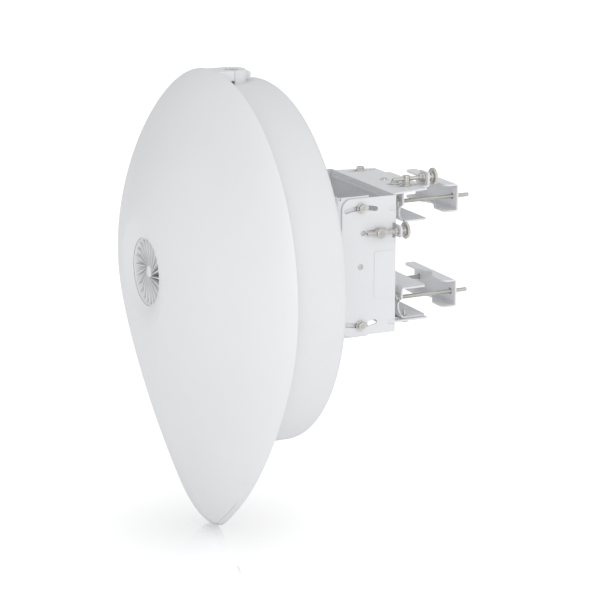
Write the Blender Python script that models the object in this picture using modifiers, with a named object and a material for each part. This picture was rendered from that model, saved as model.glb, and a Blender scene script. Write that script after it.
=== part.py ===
"""Outdoor wireless bridge: a drum-shaped dish radio on a tilting and turning pole bracket.

Units are metres, +Z is up and the dish looks along -Y. The origin is on the axis of the pole
that the bracket grips, level with the middle of the dish.
"""
import bmesh
import bpy
import math
from mathutils import Matrix, Vector

# ---------------------------------------------------------------- driving dimensions
GAP = 0.0003                  # clearance between neighbouring solids
SHEET = 0.0025                # bracket sheet thickness
BEND = 0.003                  # centre-line radius of a sheet bend
TILT_GAP = 0.0007             # lock bolt heads stand clear of the raised pads
THREAD_R = 0.003              # M6 screws and rods
CLEAR_R = 0.0034              # hole for an M6 screw

# front cover (radome) and rear housing
RIM_Y = -0.3247               # plane of the front cover's rear edge
RIM_R = 0.2723                # round upper part of the rim
FLANK_R = 0.642               # long arcs down the flanks
TIP_R = 0.0506                # arc round the lower tip
TIP_DEPTH = 0.3821            # tip below the dish axis
NOSE_Y = -0.4338              # plane of the nose
NOSE_R = 0.0755               # where the bell runs out into the nose ring
NOSE_DROP = -0.0035
CRATER_R = 0.0675
CRATER_FLOOR_R = 0.0472
CRATER_FLOOR_Y = -0.4262
COVER_WALL = 0.003
DRUM_R = 0.255
DRUM_BACK_Y = -0.243
DRUM_EDGE_R = 0.010
HOUSING_WALL = 0.0027
FLANGE_INSET = 0.0058         # housing flange inside the cover's skirt
LEDGE_Y = (-0.3325, -0.3303)

# service ports under the chin
PORT_X = (-0.018, 0.018)
PORT_Z = -0.312
VENT_Z = -0.286

# hoisting eye on top
EYE_Y = -0.297
EYE_R = 0.021
EYE_HOLE_R = 0.0105
EYE_TOP = 0.2715
EYE_SPLIT_Y = -0.3006

# reflector and feed
REFLECTOR_VERTEX_Y = -0.261
REFLECTOR_FOCAL = 0.130
REFLECTOR_R = 0.225
REFLECTOR_HOLE_R = 0.014
VANES = 22                    # blades of the spiral heat sink

# tilt (elevation) bracket
TILT_Y = -0.148
TILT_SLOT_R = 0.0835
TILT_RANGE = math.radians(15)
SIDE_X = 0.1025               # outer face of the outer side plates
SIDE_TOP = 0.097
SIDE_BOTTOM = -0.0983
SIDE_FRONT_Y = -0.177
WEB_Y = (-0.0945, -0.092)
INNER_X = 0.0997
INNER_WEB_Y = (-0.183, -0.1805)
INNER_TOP = 0.0995
INNER_BOTTOM = -0.1005
TILT_SCREW_X = 0.1095
TILT_SCREW_Z = 0.0475
TILT_BARREL_Y = -0.1228

# turn (azimuth) bracket and pole bracket
TURN_Y = -0.059
TURN_RANGE = math.radians(15)
TOP_FLANGE_END_Y = -0.033
TURN_SCREW_X = 0.0526
TURN_SCREW_Z = 0.1069
TURN_BARREL_Y = -0.0518
TURN_TAB_Y = -0.0228          # middle of the bent-up tab that the turning screw goes through
JAW_X = 0.057
JAW_EDGE_Y = -0.0195
POLE_WEB_Y = (-0.0595, -0.057)
UPPER_JAW_Z = (0.0455, 0.0942)
LOWER_JAW_Z = (-0.0955, -0.050)
ROD_X = 0.0474
ROD_Z = (0.0741, -0.066)
ROD_ENDS_Y = (-0.0680, 0.052)
CLAMP_WEB_BACK_Y = 0.028
CLAMP_X = 0.0615
CLAMP_HALF_Z = 0.0201
CLAMP_DEPTH = 0.0215

LOCK_FAR = (-0.0725, -0.0604)
LOCK_NEAR = (0.035, -0.0605)
LOCK_LOW_X = 0.0478
LOCK_LOW_Y = -0.0495

AXES = {
    "XY": Matrix.Identity(4),
    "YZ": Matrix(((0, 0, 1, 0), (1, 0, 0, 0), (0, 1, 0, 0), (0, 0, 0, 1))),
    "XZ": Matrix(((1, 0, 0, 0), (0, 0, -1, 0), (0, 1, 0, 0), (0, 0, 0, 1))),
}
TOWARDS = {
    "+X": Matrix.Rotation(math.pi / 2, 4, "Y"),
    "-X": Matrix.Rotation(-math.pi / 2, 4, "Y"),
    "+Y": Matrix.Rotation(-math.pi / 2, 4, "X"),
    "-Y": Matrix.Rotation(math.pi / 2, 4, "X"),
    "+Z": Matrix.Identity(4),
    "-Z": Matrix.Rotation(math.pi, 4, "X"),
}


# ---------------------------------------------------------------- scene helpers
def clear_scene():
    for item in list(bpy.data.objects):
        bpy.data.objects.remove(item)


def new_collection(name):
    collection = bpy.data.collections.new(name)
    bpy.context.scene.collection.children.link(collection)
    return collection


def new_material(name, colour, roughness, metallic=0.0):
    material = bpy.data.materials.new(name)
    material.use_nodes = True
    shader = material.node_tree.nodes["Principled BSDF"]
    shader.inputs["Base Color"].default_value = (*colour, 1.0)
    shader.inputs["Roughness"].default_value = roughness
    shader.inputs["Metallic"].default_value = metallic
    return material


def new_joint(name, location):
    empty = bpy.data.objects.new(name, None)
    empty.location = location
    empty.empty_display_size = 0.02
    PARTS.objects.link(empty)
    return empty


def add_part(name, shape, material, joint=None, place=None):
    """Make a named part from a bmesh, placed by a matrix and hung on a joint's empty."""
    bmesh.ops.recalc_face_normals(shape, faces=shape.faces)
    mesh = bpy.data.meshes.new(name)
    shape.to_mesh(mesh)
    shape.free()
    mesh.shade_smooth()
    mesh.set_sharp_from_angle(angle=math.radians(35))
    mesh.materials.append(MATERIALS[material])
    part = bpy.data.objects.new(name, mesh)
    PARTS.objects.link(part)
    place = place or Matrix.Identity(4)
    if joint:
        part.parent = joint
        place = Matrix.Translation(-joint.location) @ place
    part.matrix_local = place
    return part


def add_copies(name, shape, material, joint, places):
    """Numbered parts that share one mesh; a place is a location and the way +Z turns."""
    first = None
    for number, (location, direction) in enumerate(places, 1):
        place = Matrix.Translation(location) @ TOWARDS[direction]
        if first is None:
            first = add_part(f"{name}_1", shape, material, joint, place)
            continue
        copy = bpy.data.objects.new(f"{name}_{number}", first.data)
        PARTS.objects.link(copy)
        if joint:
            copy.parent = joint
            place = Matrix.Translation(-joint.location) @ place
        copy.matrix_local = place


def add_turned(name, profile, material, joint, location, direction="+Z", closed=False, steps=32):
    """Turn a profile of (height, radius) points about a line; a closed profile leaves a bore."""
    area = sum(z0 * r1 - z1 * r0 for (z0, r0), (z1, r1) in zip(profile, profile[1:] + profile[:1]))
    if area < 0:
        profile = profile[::-1]
    line = bmesh.new()
    points = [line.verts.new((radius, 0, height)) for height, radius in profile]
    following = points[1:] + points[:1] if closed else points[1:]
    for start, end in zip(points, following):
        line.edges.new((start, end))
    mesh = bpy.data.meshes.new(name)
    line.to_mesh(mesh)
    line.free()
    mesh.materials.append(MATERIALS[material])
    part = bpy.data.objects.new(name, mesh)
    PARTS.objects.link(part)
    place = Matrix.Translation(location) @ TOWARDS[direction]
    if joint:
        part.parent = joint
        place = Matrix.Translation(-joint.location) @ place
    part.matrix_local = place
    turn = part.modifiers.new("turn", "SCREW")
    turn.steps = steps
    turn.render_steps = steps
    turn.use_merge_vertices = True
    turn.merge_threshold = 0.00005
    turn.use_smooth_shade = True
    return part


def add_tool(name, shape):
    """Make a hidden object that is cut from a part or joined to it."""
    bmesh.ops.recalc_face_normals(shape, faces=shape.faces)
    mesh = bpy.data.meshes.new(name)
    shape.to_mesh(mesh)
    shape.free()
    tool = bpy.data.objects.new(name, mesh)
    tool.hide_render = True
    tool.display_type = "WIRE"
    CUTTERS.objects.link(tool)
    return tool


def combine(part, operation, shape):
    tool = add_tool(f"{part.name}_{operation.lower()}_{len(part.modifiers)}", shape)
    modifier = part.modifiers.new(tool.name, "BOOLEAN")
    modifier.operation = operation
    modifier.solver = "EXACT"
    modifier.object = tool
    return part


def cut(part, shape):
    return combine(part, "DIFFERENCE", shape)


def join(part, shape):
    return combine(part, "UNION", shape)


def keep_inside(part, shape):
    return combine(part, "INTERSECT", shape)


# ---------------------------------------------------------------- shape helpers
def merged(*shapes):
    """One bmesh that holds several separate closed shapes."""
    result = bmesh.new()
    for shape in shapes:
        mesh = bpy.data.meshes.new("merge")
        shape.to_mesh(mesh)
        shape.free()
        result.from_mesh(mesh)
        bpy.data.meshes.remove(mesh)
    return result


def moved(shape, matrix):
    bmesh.ops.transform(shape, matrix=matrix, verts=shape.verts)
    return shape


def box(low, high):
    shape = bmesh.new()
    bmesh.ops.create_cube(shape, size=1.0)
    centre = (Vector(low) + Vector(high)) / 2
    size = Vector(high) - Vector(low)
    return moved(shape, Matrix.Translation(centre) @ Matrix.Diagonal((*size, 1.0)))


def rod(start, direction, length, radius, sides=16):
    """A cylinder from a start point along an axis such as '+Y'."""
    shape = bmesh.new()
    bmesh.ops.create_cone(shape, cap_ends=True, segments=sides, radius1=radius, radius2=radius,
                          depth=length)
    moved(shape, Matrix.Translation((0, 0, length / 2)))
    return moved(shape, Matrix.Translation(start) @ TOWARDS[direction])


def section(radius, kind, sides):
    """Points round a circle, or round a hexagon given by half its width across flats."""
    points = []
    for step in range(sides):
        angle = 2 * math.pi * step / sides
        reach = radius
        if kind == "hex":
            reach = radius / math.cos((angle % (math.pi / 3)) - math.pi / 6)
        points.append((reach * math.cos(angle), reach * math.sin(angle)))
    return points


def stack(profile, sides=12, bored=False):
    """A loft of round and hexagonal sections up +Z; each entry is (height, radius, kind)."""
    shape = bmesh.new()
    rings = []
    for height, radius, kind in profile:
        rings.append([shape.verts.new((x, y, height)) for x, y in section(radius, kind, sides)])
    pairs = list(zip(rings, rings[1:]))
    if bored:
        pairs.append((rings[-1], rings[0]))
    else:
        shape.faces.new(rings[0])
        shape.faces.new(rings[-1])
    for lower, upper in pairs:
        for step in range(sides):
            after = (step + 1) % sides
            shape.faces.new((lower[step], lower[after], upper[after], upper[step]))
    return shape


def extruded(outlines, low, high, plane):
    """A flat outline, with any holes as further outlines, extruded between two offsets."""
    curve = bpy.data.curves.new("outline", "CURVE")
    curve.dimensions = "2D"
    curve.fill_mode = "BOTH"
    curve.extrude = (high - low) / 2
    for outline in outlines:
        spline = curve.splines.new("POLY")
        spline.points.add(len(outline) - 1)
        for point, (u, v) in zip(spline.points, outline):
            point.co = (u, v, 0, 1)
        spline.use_cyclic_u = True
    holder = bpy.data.objects.new("outline", curve)
    bpy.context.scene.collection.objects.link(holder)
    graph = bpy.context.evaluated_depsgraph_get()
    mesh = bpy.data.meshes.new_from_object(holder.evaluated_get(graph))
    bpy.data.objects.remove(holder)
    bpy.data.curves.remove(curve)
    shape = bmesh.new()
    shape.from_mesh(mesh)
    bpy.data.meshes.remove(mesh)
    bmesh.ops.remove_doubles(shape, verts=shape.verts, dist=1e-6)
    middle = Matrix.Translation((0, 0, (low + high) / 2))
    if plane == "XZ":
        middle = Matrix.Translation((0, 0, -(low + high) / 2))
    moved(shape, AXES[plane] @ middle)
    bmesh.ops.recalc_face_normals(shape, faces=shape.faces)
    return shape


def arc(centre, radius, start, end, steps):
    """Points on an arc, with the angles in degrees."""
    points = []
    for step in range(steps + 1):
        angle = math.radians(start + (end - start) * step / steps)
        points.append((centre[0] + radius * math.cos(angle), centre[1] + radius * math.sin(angle)))
    return points


def rounded(corners, steps=3):
    """A closed outline from (u, v, corner radius) entries."""
    outline = []
    count = len(corners)
    for index, (u, v, radius) in enumerate(corners):
        here = Vector((u, v))
        if radius <= 0:
            outline.append((u, v))
            continue
        back = (Vector(corners[index - 1][:2]) - here).normalized()
        ahead = (Vector(corners[(index + 1) % count][:2]) - here).normalized()
        half = back.angle(ahead) / 2
        centre = here + (back + ahead).normalized() * radius / math.sin(half)
        first = here + back * radius / math.tan(half) - centre
        last = here + ahead * radius / math.tan(half) - centre
        turn = first.angle_signed(last)
        for step in range(steps + 1):
            point = centre + Matrix.Rotation(-turn * step / steps, 2) @ first
            outline.append((point.x, point.y))
    return outline


def sheet(path, thickness=SHEET, bend=BEND, steps=2):
    """The outline of bent sheet whose middle follows a path of corners."""
    middle = [Vector(path[0])]
    for before, corner, after in zip(path, path[1:], path[2:]):
        corner = Vector(corner)
        back = (Vector(before) - corner).normalized()
        ahead = (Vector(after) - corner).normalized()
        half = back.angle(ahead) / 2
        centre = corner + (back + ahead).normalized() * bend / math.sin(half)
        first = corner + back * bend / math.tan(half) - centre
        last = corner + ahead * bend / math.tan(half) - centre
        turn = first.angle_signed(last)
        for step in range(steps + 1):
            middle.append(centre + Matrix.Rotation(-turn * step / steps, 2) @ first)
    middle.append(Vector(path[-1]))
    left = []
    right = []
    for index, point in enumerate(middle):
        before = (point - middle[index - 1]).normalized() if index else None
        after = (middle[index + 1] - point).normalized() if index + 1 < len(middle) else before
        before = before or after
        along = (before + after).normalized()
        across = Vector((-along.y, along.x)) * thickness / 2 / max(along.dot(after), 0.2)
        left.append(tuple(point + across))
        right.append(tuple(point - across))
    return left + right[::-1]


def slot(start, end, radius, steps=4):
    """A straight slot's outline, between the centres of its round ends."""
    along = Vector(end) - Vector(start)
    angle = math.degrees(math.atan2(along.y, along.x))
    return (arc(end, radius, angle - 90, angle + 90, steps)
            + arc(start, radius, angle + 90, angle + 270, steps))


def arc_slot(centre, path_r, middle, half, radius, steps=4):
    """A slot's outline along an arc; angles in degrees."""
    outline = arc(centre, path_r + radius, middle - half, middle + half, steps)
    for angle, turn in ((middle + half, 0), (middle - half, 180)):
        end = arc(centre, path_r, angle, angle, 1)[0]
        outline += arc(end, radius, angle + turn, angle + turn + 180, 4)[1:-1]
        if turn == 0:
            outline += arc(centre, path_r - radius, middle + half, middle - half, steps)
    return outline


# ---------------------------------------------------------------- cover and housing
def rim_radius(angle):
    """Distance from the dish axis to the rim; the angle is 0 at the top."""
    drop = TIP_DEPTH - TIP_R
    height = ((FLANK_R - TIP_R) ** 2 - (FLANK_R - RIM_R) ** 2 - drop ** 2) / (2 * drop)
    side = math.sqrt((FLANK_R - RIM_R) ** 2 - height ** 2)
    across = abs(math.sin(angle))
    up = math.cos(angle)
    if math.atan2(across, up) < math.atan2(side, -height):
        return RIM_R
    reach = FLANK_R - TIP_R
    touch = (side / reach * TIP_R, -drop - (height + drop) / reach * TIP_R)
    if math.atan2(across, up) < math.atan2(touch[0], touch[1]):
        slope = -side * across + height * up
        return slope + math.sqrt(slope ** 2 - side ** 2 - height ** 2 + FLANK_R ** 2)
    slope = -drop * up
    return slope + math.sqrt(slope ** 2 - drop ** 2 + TIP_R ** 2)


def rim_angles():
    """Angles round the rim: even over the round part and flanks, closer at the tip."""
    half = [math.radians(9 * step) for step in range(13)]
    half += [math.radians(108 + 65 * step / 7) for step in range(1, 8)]
    half += [math.radians(176.5)]
    return half + [math.pi] + [2 * math.pi - angle for angle in half[:0:-1]]


def rim_ring(inset, y):
    return [((rim_radius(a) - inset) * math.sin(a), y, (rim_radius(a) - inset) * math.cos(a))
            for a in rim_angles()]


def round_ring(radius, y, drop=0.0):
    return [(radius * math.sin(a), y, radius * math.cos(a) + drop) for a in rim_angles()]


def bell_ring(share):
    """One ring of the bell-shaped cover; share runs from 0 at the nose to 1 at the rim."""
    reach = 1 - (1 - share) ** 2
    ring = []
    for angle in rim_angles():
        low = (1 - math.cos(angle)) / 2
        flat = 1.3 - 0.29 * low
        full = 1.32 + 0.56 * low
        depth = (1 - reach ** flat) ** (1 / full)
        radius = NOSE_R + (rim_radius(angle) - NOSE_R) * reach
        y = RIM_Y + (NOSE_Y - RIM_Y) * depth
        drop = NOSE_DROP * (1 - reach)
        ring.append((radius * math.sin(angle), y, radius * math.cos(angle) + drop))
    return ring


def ring_loft(rings, outward, fill_last=False, closed=False):
    """Faces between rings of points; outward is a direction that the first face should face."""
    shape = bmesh.new()
    rows = [[shape.verts.new(point) for point in ring] for ring in rings]
    pairs = list(zip(rows, rows[1:]))
    if closed:
        pairs.append((rows[-1], rows[0]))
    for inner, outer in pairs:
        for step in range(len(inner)):
            after = (step + 1) % len(inner)
            shape.faces.new((inner[step], inner[after], outer[after], outer[step]))
    if fill_last:
        shape.faces.new(rows[-1])
    shape.normal_update()
    bmesh.ops.recalc_face_normals(shape, faces=shape.faces)
    shape.faces.ensure_lookup_table()
    if not closed and shape.faces[0].normal.dot(Vector(outward)) < 0:
        bmesh.ops.reverse_faces(shape, faces=shape.faces)
    return shape


def add_shell(name, rings, outward, wall, material, joint, fill_last=False):
    shape = ring_loft(rings, outward, fill_last)
    mesh = bpy.data.meshes.new(name)
    shape.to_mesh(mesh)
    shape.free()
    mesh.shade_smooth()
    mesh.set_sharp_from_angle(angle=math.radians(35))
    mesh.materials.append(MATERIALS[material])
    part = bpy.data.objects.new(name, mesh)
    PARTS.objects.link(part)
    part.parent = joint
    part.matrix_local = Matrix.Translation(-joint.location)
    solidify = part.modifiers.new("wall", "SOLIDIFY")
    solidify.thickness = wall
    solidify.offset = -1
    return part


def rim_screw_places():
    """Angles of the ten screws that hold the cover, in degrees from the top."""
    return [side * angle for angle in (18, 58, 98, 138, 163) for side in (1, -1)]


def rim_screw_point(angle, y):
    radius = rim_radius(math.radians(angle)) - 0.0105
    return (radius * math.sin(math.radians(angle)), y, radius * math.cos(math.radians(angle)))


def eye_outline(rear):
    """Half of the hoisting eye, seen from above."""
    gap = EYE_SPLIT_Y - EYE_Y
    if rear:
        y = EYE_SPLIT_Y + 2 * GAP
        start = math.degrees(math.asin((y - EYE_Y) / EYE_R))
        inner = math.degrees(math.asin((y - EYE_Y) / EYE_HOLE_R))
        return (arc((0, EYE_Y), EYE_R, start, 180 - start, 14)
                + arc((0, EYE_Y), EYE_HOLE_R, 180 - inner, inner, 12))
    inner = math.degrees(math.asin(gap / EYE_HOLE_R))
    hole = arc((0, EYE_Y), EYE_HOLE_R, 180 - inner, 360 + inner, 8)
    edge = EYE_R * math.cos(math.asin(gap / EYE_R))
    return ([(-edge, EYE_SPLIT_Y)] + hole + [(edge, EYE_SPLIT_Y), (EYE_R, RIM_Y - 0.0018),
                                             (-EYE_R, RIM_Y - 0.0018)])


def make_front_cover():
    rings = [round_ring(CRATER_FLOOR_R, CRATER_FLOOR_Y), round_ring(CRATER_R, NOSE_Y + 0.0004)]
    rings += [bell_ring(step / 8) for step in range(9)]
    cover = add_shell("front_cover", rings, (0, -1, 0), COVER_WALL, "radome", TILT)
    ledge = [rim_ring(0.0058, LEDGE_Y[0]), rim_ring(0.0058, LEDGE_Y[1]),
             rim_ring(0.014, LEDGE_Y[1]), rim_ring(0.014, LEDGE_Y[0])]
    join(cover, ring_loft(ledge, (0, -1, 0), closed=True))
    join(cover, extruded([eye_outline(False)], 0.2583, EYE_TOP, "XY"))
    cut(cover, merged(*[rod(rim_screw_point(a, LEDGE_Y[0] - 0.002), "+Y", 0.006, 0.0018, 8)
                        for a in rim_screw_places()]))


def make_rear_housing():
    edge = DRUM_EDGE_R
    rings = [rim_ring(FLANGE_INSET, RIM_Y - 0.0006), round_ring(DRUM_R + 0.003, RIM_Y - 0.0006),
             round_ring(DRUM_R, RIM_Y + 0.0024)]
    for angle in (0, 45, 90):
        turn = math.radians(angle)
        rings.append(round_ring(DRUM_R - edge + edge * math.cos(turn),
                                DRUM_BACK_Y - edge + edge * math.sin(turn)))
    housing = add_shell("rear_housing", rings, (0, 1, 0), HOUSING_WALL, "housing", TILT,
                        fill_last=True)
    join(housing, extruded([eye_outline(True)], 0.2535, EYE_TOP, "XY"))
    join(housing, rod((-0.004, EYE_Y + EYE_R + 0.003, 0.2635), "+X", 0.008, 0.0045, 16))
    cut(housing, box((-0.0218, RIM_Y - 0.006, 0.2579), (0.0218, RIM_Y + 0.0008, 0.28)))
    holes = [rod(rim_screw_point(a, RIM_Y - 0.006), "+Y", 0.008, 0.0021, 8)
             for a in rim_screw_places()]
    holes += [rod((x, DRUM_BACK_Y - 0.006, z), "+Y", 0.009, CLEAR_R, 12)
              for x, z in PEDESTAL_SCREWS]
    cut(housing, merged(*holes))
    window = rounded([(-0.036, -0.334, 0.004), (0.036, -0.334, 0.004), (0.036, -0.276, 0.004),
                      (-0.036, -0.276, 0.004)])
    cut(housing, extruded([window], RIM_Y - 0.007, RIM_Y + 0.003, "XZ"))
    return housing


def make_rim_gasket():
    rings = [rim_ring(0.0072, LEDGE_Y[1] + GAP), rim_ring(0.0072, RIM_Y - 0.0036),
             rim_ring(0.0092, RIM_Y - 0.0036), rim_ring(0.0092, LEDGE_Y[1] + GAP)]
    gasket = add_part("rim_gasket", ring_loft(rings, (0, -1, 0), closed=True), "rubber", TILT)
    cut(gasket, box((-0.0218, RIM_Y - 0.008, 0.2579), (0.0218, RIM_Y + 0.0008, 0.28)))


def screw_shape(shank_length, head_h, flange=0.0071):
    """An M6 flange screw whose head stands on z = 0 and whose shank runs down from it."""
    flats = 0.0050
    profile = [(-shank_length, THREAD_R, "round"), (0, THREAD_R, "round"), (0, flange, "round"),
               (head_h * 0.28, flats, "hex"), (head_h, flats, "hex")]
    return stack(profile, 12)


def nut_shape(height, bore_r, flange=0.0):
    """An M6 nut that stands on z = 0, with an optional flange."""
    flats = 0.0050
    if flange:
        profile = [(0, bore_r, "round"), (0, flange, "round"), (height * 0.28, flats, "hex")]
    else:
        profile = [(0, bore_r, "round"), (0, flats, "hex")]
    profile += [(height, flats, "hex"), (height, bore_r, "round")]
    return stack(profile, 12, bored=True)


def placed(shape, location, direction):
    return moved(shape, Matrix.Translation(location) @ TOWARDS[direction])


# ---------------------------------------------------------------- radio and reflector
def make_heat_sink():
    """A cup with a cone in the middle and spiral vanes between cone and wall."""
    outer = CRATER_FLOOR_R - 0.0007
    flange = 0.0530
    profile = [(0.0002, 0), (0.0005, 0.0018), (0.0060, 0.0070), (0.0160, 0.0150),
               (0.0175, outer - 0.0016), (0.0010, outer - 0.0014), (0.0004, outer - 0.0004),
               (0.0008, outer), (0.0045, outer), (0.0045, flange), (0.0075, flange),
               (0.0075, outer), (0.0210, outer), (0.0210, 0)]
    start = (0, CRATER_FLOOR_Y + 0.0006, 0)
    sink = add_turned("spiral_heat_sink", profile, "heat_sink", TILT, start, "+Y", steps=32)
    vanes = [spiral_vane(index * 2 * math.pi / VANES) for index in range(VANES)]
    join(sink, placed(merged(*vanes), start, "+Y"))


def spiral_vane(start):
    """One blade, curving round as it runs out from the cone to the wall."""
    shape = bmesh.new()
    rows = []
    steps = 4
    for step in range(steps + 1):
        share = step / steps
        radius = 0.0075 + (CRATER_FLOOR_R - 0.0015 - 0.0075) * share
        angle = start - math.radians(74) * (1 - (1 - share) ** 1.6)
        half = (0.0008 + 0.0008 * share) / 2
        top = 0.0062 - 0.0042 * share ** 1.5
        middle = Vector((radius * math.cos(angle), radius * math.sin(angle), 0))
        side = Vector((-math.sin(angle), math.cos(angle), 0)) * half * 1.3
        foot = 0.0190
        rows.append([shape.verts.new(middle + side + Vector((0, 0, top))),
                     shape.verts.new(middle - side + Vector((0, 0, top))),
                     shape.verts.new(middle - side * 1.5 + Vector((0, 0, foot))),
                     shape.verts.new(middle + side * 1.5 + Vector((0, 0, foot)))])
    shape.faces.new(rows[0])
    shape.faces.new(rows[-1])
    for before, after in zip(rows, rows[1:]):
        for step in range(4):
            following = (step + 1) % 4
            shape.faces.new((before[step], before[following], after[following], after[step]))
    bmesh.ops.recalc_face_normals(shape, faces=shape.faces)
    return shape


def make_radio():
    """The sealed radio behind the nose, and the horn that lights the reflector."""
    seal_y = CRATER_FLOOR_Y + 0.0034
    add_turned("nose_gasket", [(0, 0.0476), (0, 0.0522), (0.0014, 0.0522), (0.0014, 0.0476)],
               "rubber", TILT, (0, seal_y, 0), "+Y", True, 28)
    back = CRATER_FLOOR_Y + 0.0219
    cup = [(0, 0.0440), (0, 0.0465), (0.0150, 0.0465), (0.0175, 0.0440), (0.0175, 0.0150),
           (0.0150, 0.0150), (0.0150, 0.0440)]
    add_turned("radio_housing", cup, "aluminium", TILT, (0, back, 0), "+Y", True, 28)
    board = [(0, 0), (0, 0.0435), (0.0016, 0.0435), (0.0016, 0)]
    add_turned("radio_board", board, "circuit_board", TILT, (0, back + 0.004, 0), "+Y", False, 24)
    add_part("rf_shield", box((-0.022, back + 0.0059, -0.019), (0.022, back + 0.0092, 0.019)),
             "tin", TILT)
    horn = [(0, 0.0110), (0, 0.0146), (0.0057, 0.0146), (0.0057, 0.0190), (0.0070, 0.0190),
            (0.0170, 0.0270), (0.0170, 0.0250), (0.0065, 0.0130)]
    add_turned("feed_horn", horn, "aluminium", TILT, (0, back + 0.0122, 0), "+Y", True, 28)
    lid = [(0, 0), (0, 0.0268), (0.0012, 0.0268), (0.0022, 0.0255), (0.0022, 0)]
    add_turned("feed_window", lid, "plastic", TILT, (0, back + 0.0295, 0), "+Y", False, 28)


def make_reflector():
    """A paraboloid turned about the dish axis, with a hub on the housing behind it."""
    steps = 5
    profile = []
    for step in range(steps + 1):
        radius = REFLECTOR_HOLE_R + (REFLECTOR_R - REFLECTOR_HOLE_R) * step / steps
        profile.append((radius ** 2 / (4 * REFLECTOR_FOCAL), radius))
    profile.append((profile[-1][0] + 0.0002, REFLECTOR_R + 0.003))
    reflector = add_turned("reflector", profile, "aluminium", TILT, (0, REFLECTOR_VERTEX_Y, 0),
                           "-Y", False, 32)
    wall = reflector.modifiers.new("wall", "SOLIDIFY")
    wall.thickness = 0.0015
    front = REFLECTOR_VERTEX_Y + 0.0024
    depth = DRUM_BACK_Y - HOUSING_WALL - GAP - front
    hub = [(0, 0.0250), (0, 0.0320), (depth, 0.0320), (depth, 0.0250)]
    add_turned("reflector_hub", hub, "plastic", TILT, (0, front, 0), "+Y", True, 24)


def make_inner_cable():
    """The lead from the radio down behind the cover to the port board."""
    route = [(0, -0.3925, -0.0495), (0, -0.3925, -0.065), (0, -0.3960, -0.095),
             (0, -0.3935, -0.150), (0, -0.3840, -0.205), (0, -0.3715, -0.250), (0, -0.3614, -0.2790)]
    curve = bpy.data.curves.new("inner_cable", "CURVE")
    curve.dimensions = "3D"
    curve.bevel_depth = 0.0025
    curve.bevel_resolution = 2
    curve.use_fill_caps = True
    spline = curve.splines.new("POLY")
    spline.points.add(len(route) - 1)
    for point, place in zip(spline.points, route):
        point.co = (*(Vector(place) - TILT.location), 1)
    curve.materials.append(MATERIALS["cable"])
    cable = bpy.data.objects.new("inner_cable", curve)
    PARTS.objects.link(cable)
    cable.parent = TILT


def make_ports():
    """The service panel on the back of the chin, with its glands, jacks and board."""
    face = RIM_Y - 0.0006
    plate = rounded([(-0.044, -0.341, 0.005), (0.044, -0.341, 0.005), (0.044, -0.269, 0.005),
                     (-0.044, -0.269, 0.005)])
    holes = [arc((x, PORT_Z), 0.0083, 0, 345, 23) for x in PORT_X]
    holes.append(arc((0.024, VENT_Z), 0.0043, 0, 330, 11))
    holes.append(arc((-0.024, VENT_Z), 0.0034, 0, 330, 11))
    add_part("port_panel", extruded([plate] + holes, face + GAP, face + GAP + SHEET, "XZ"),
             "painted", TILT)
    outer = face + GAP + SHEET + GAP
    gland = [(-0.010, 0.0044, "round"), (-0.010, 0.0080, "round"), (0, 0.0080, "round"),
             (0, 0.0105, "hex"), (0.006, 0.0105, "hex"), (0.007, 0.0094, "round"),
             (0.019, 0.0090, "round"), (0.023, 0.0068, "round"), (0.023, 0.0044, "round")]
    add_copies("cable_gland", stack(gland, bored=True), "black_plastic", TILT,
               [((x, outer, PORT_Z), "+Y") for x in PORT_X])
    for number, x in enumerate(PORT_X, 1):
        plug = [(0, 0), (0, 0.0041), (0.0155, 0.0041), (0.0155, 0.0062), (0.0172, 0.0060),
                (0.0172, 0)]
        add_turned(f"gland_plug_{number}", plug, "rubber", TILT, (x, outer + 0.0078, PORT_Z), "+Y",
                   steps=16)
    vent = [(-0.006, 0.0040, "round"), (0, 0.0040, "round"), (0, 0.0070, "hex"),
            (0.003, 0.0070, "hex"), (0.0045, 0.0055, "round")]
    add_part("pressure_vent", placed(stack(vent), (0.024, outer, VENT_Z), "+Y"),
             "black_plastic", TILT)
    add_part("ground_screw", placed(screw_shape(0.010, 0.0050), (-0.024, outer, VENT_Z), "+Y"),
             "stainless", TILT)
    for number, x in enumerate(PORT_X, 1):
        jack = add_part(f"network_jack_{number}", box((x - 0.008, face - 0.030, PORT_Z - 0.0075),
                        (x + 0.008, face - 0.011, PORT_Z + 0.0065)), "tin", TILT)
        cut(jack, box((x - 0.006, face - 0.024, PORT_Z - 0.004),
                      (x + 0.006, face - 0.009, PORT_Z + 0.004)))
    add_part("port_board", box((-0.032, face - 0.0325, PORT_Z - 0.010),
                               (0.032, face - 0.0309, PORT_Z + 0.034)), "circuit_board", TILT)


# ---------------------------------------------------------------- tilt bracket, dish side
PEDESTAL_SCREWS = [(x, z) for x in (-0.060, 0.060) for z in (-0.080, 0.080)]
BRACKET_BOLTS = [(x, z) for x in (-0.078, 0.078) for z in (-0.092, 0.092)]


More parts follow.
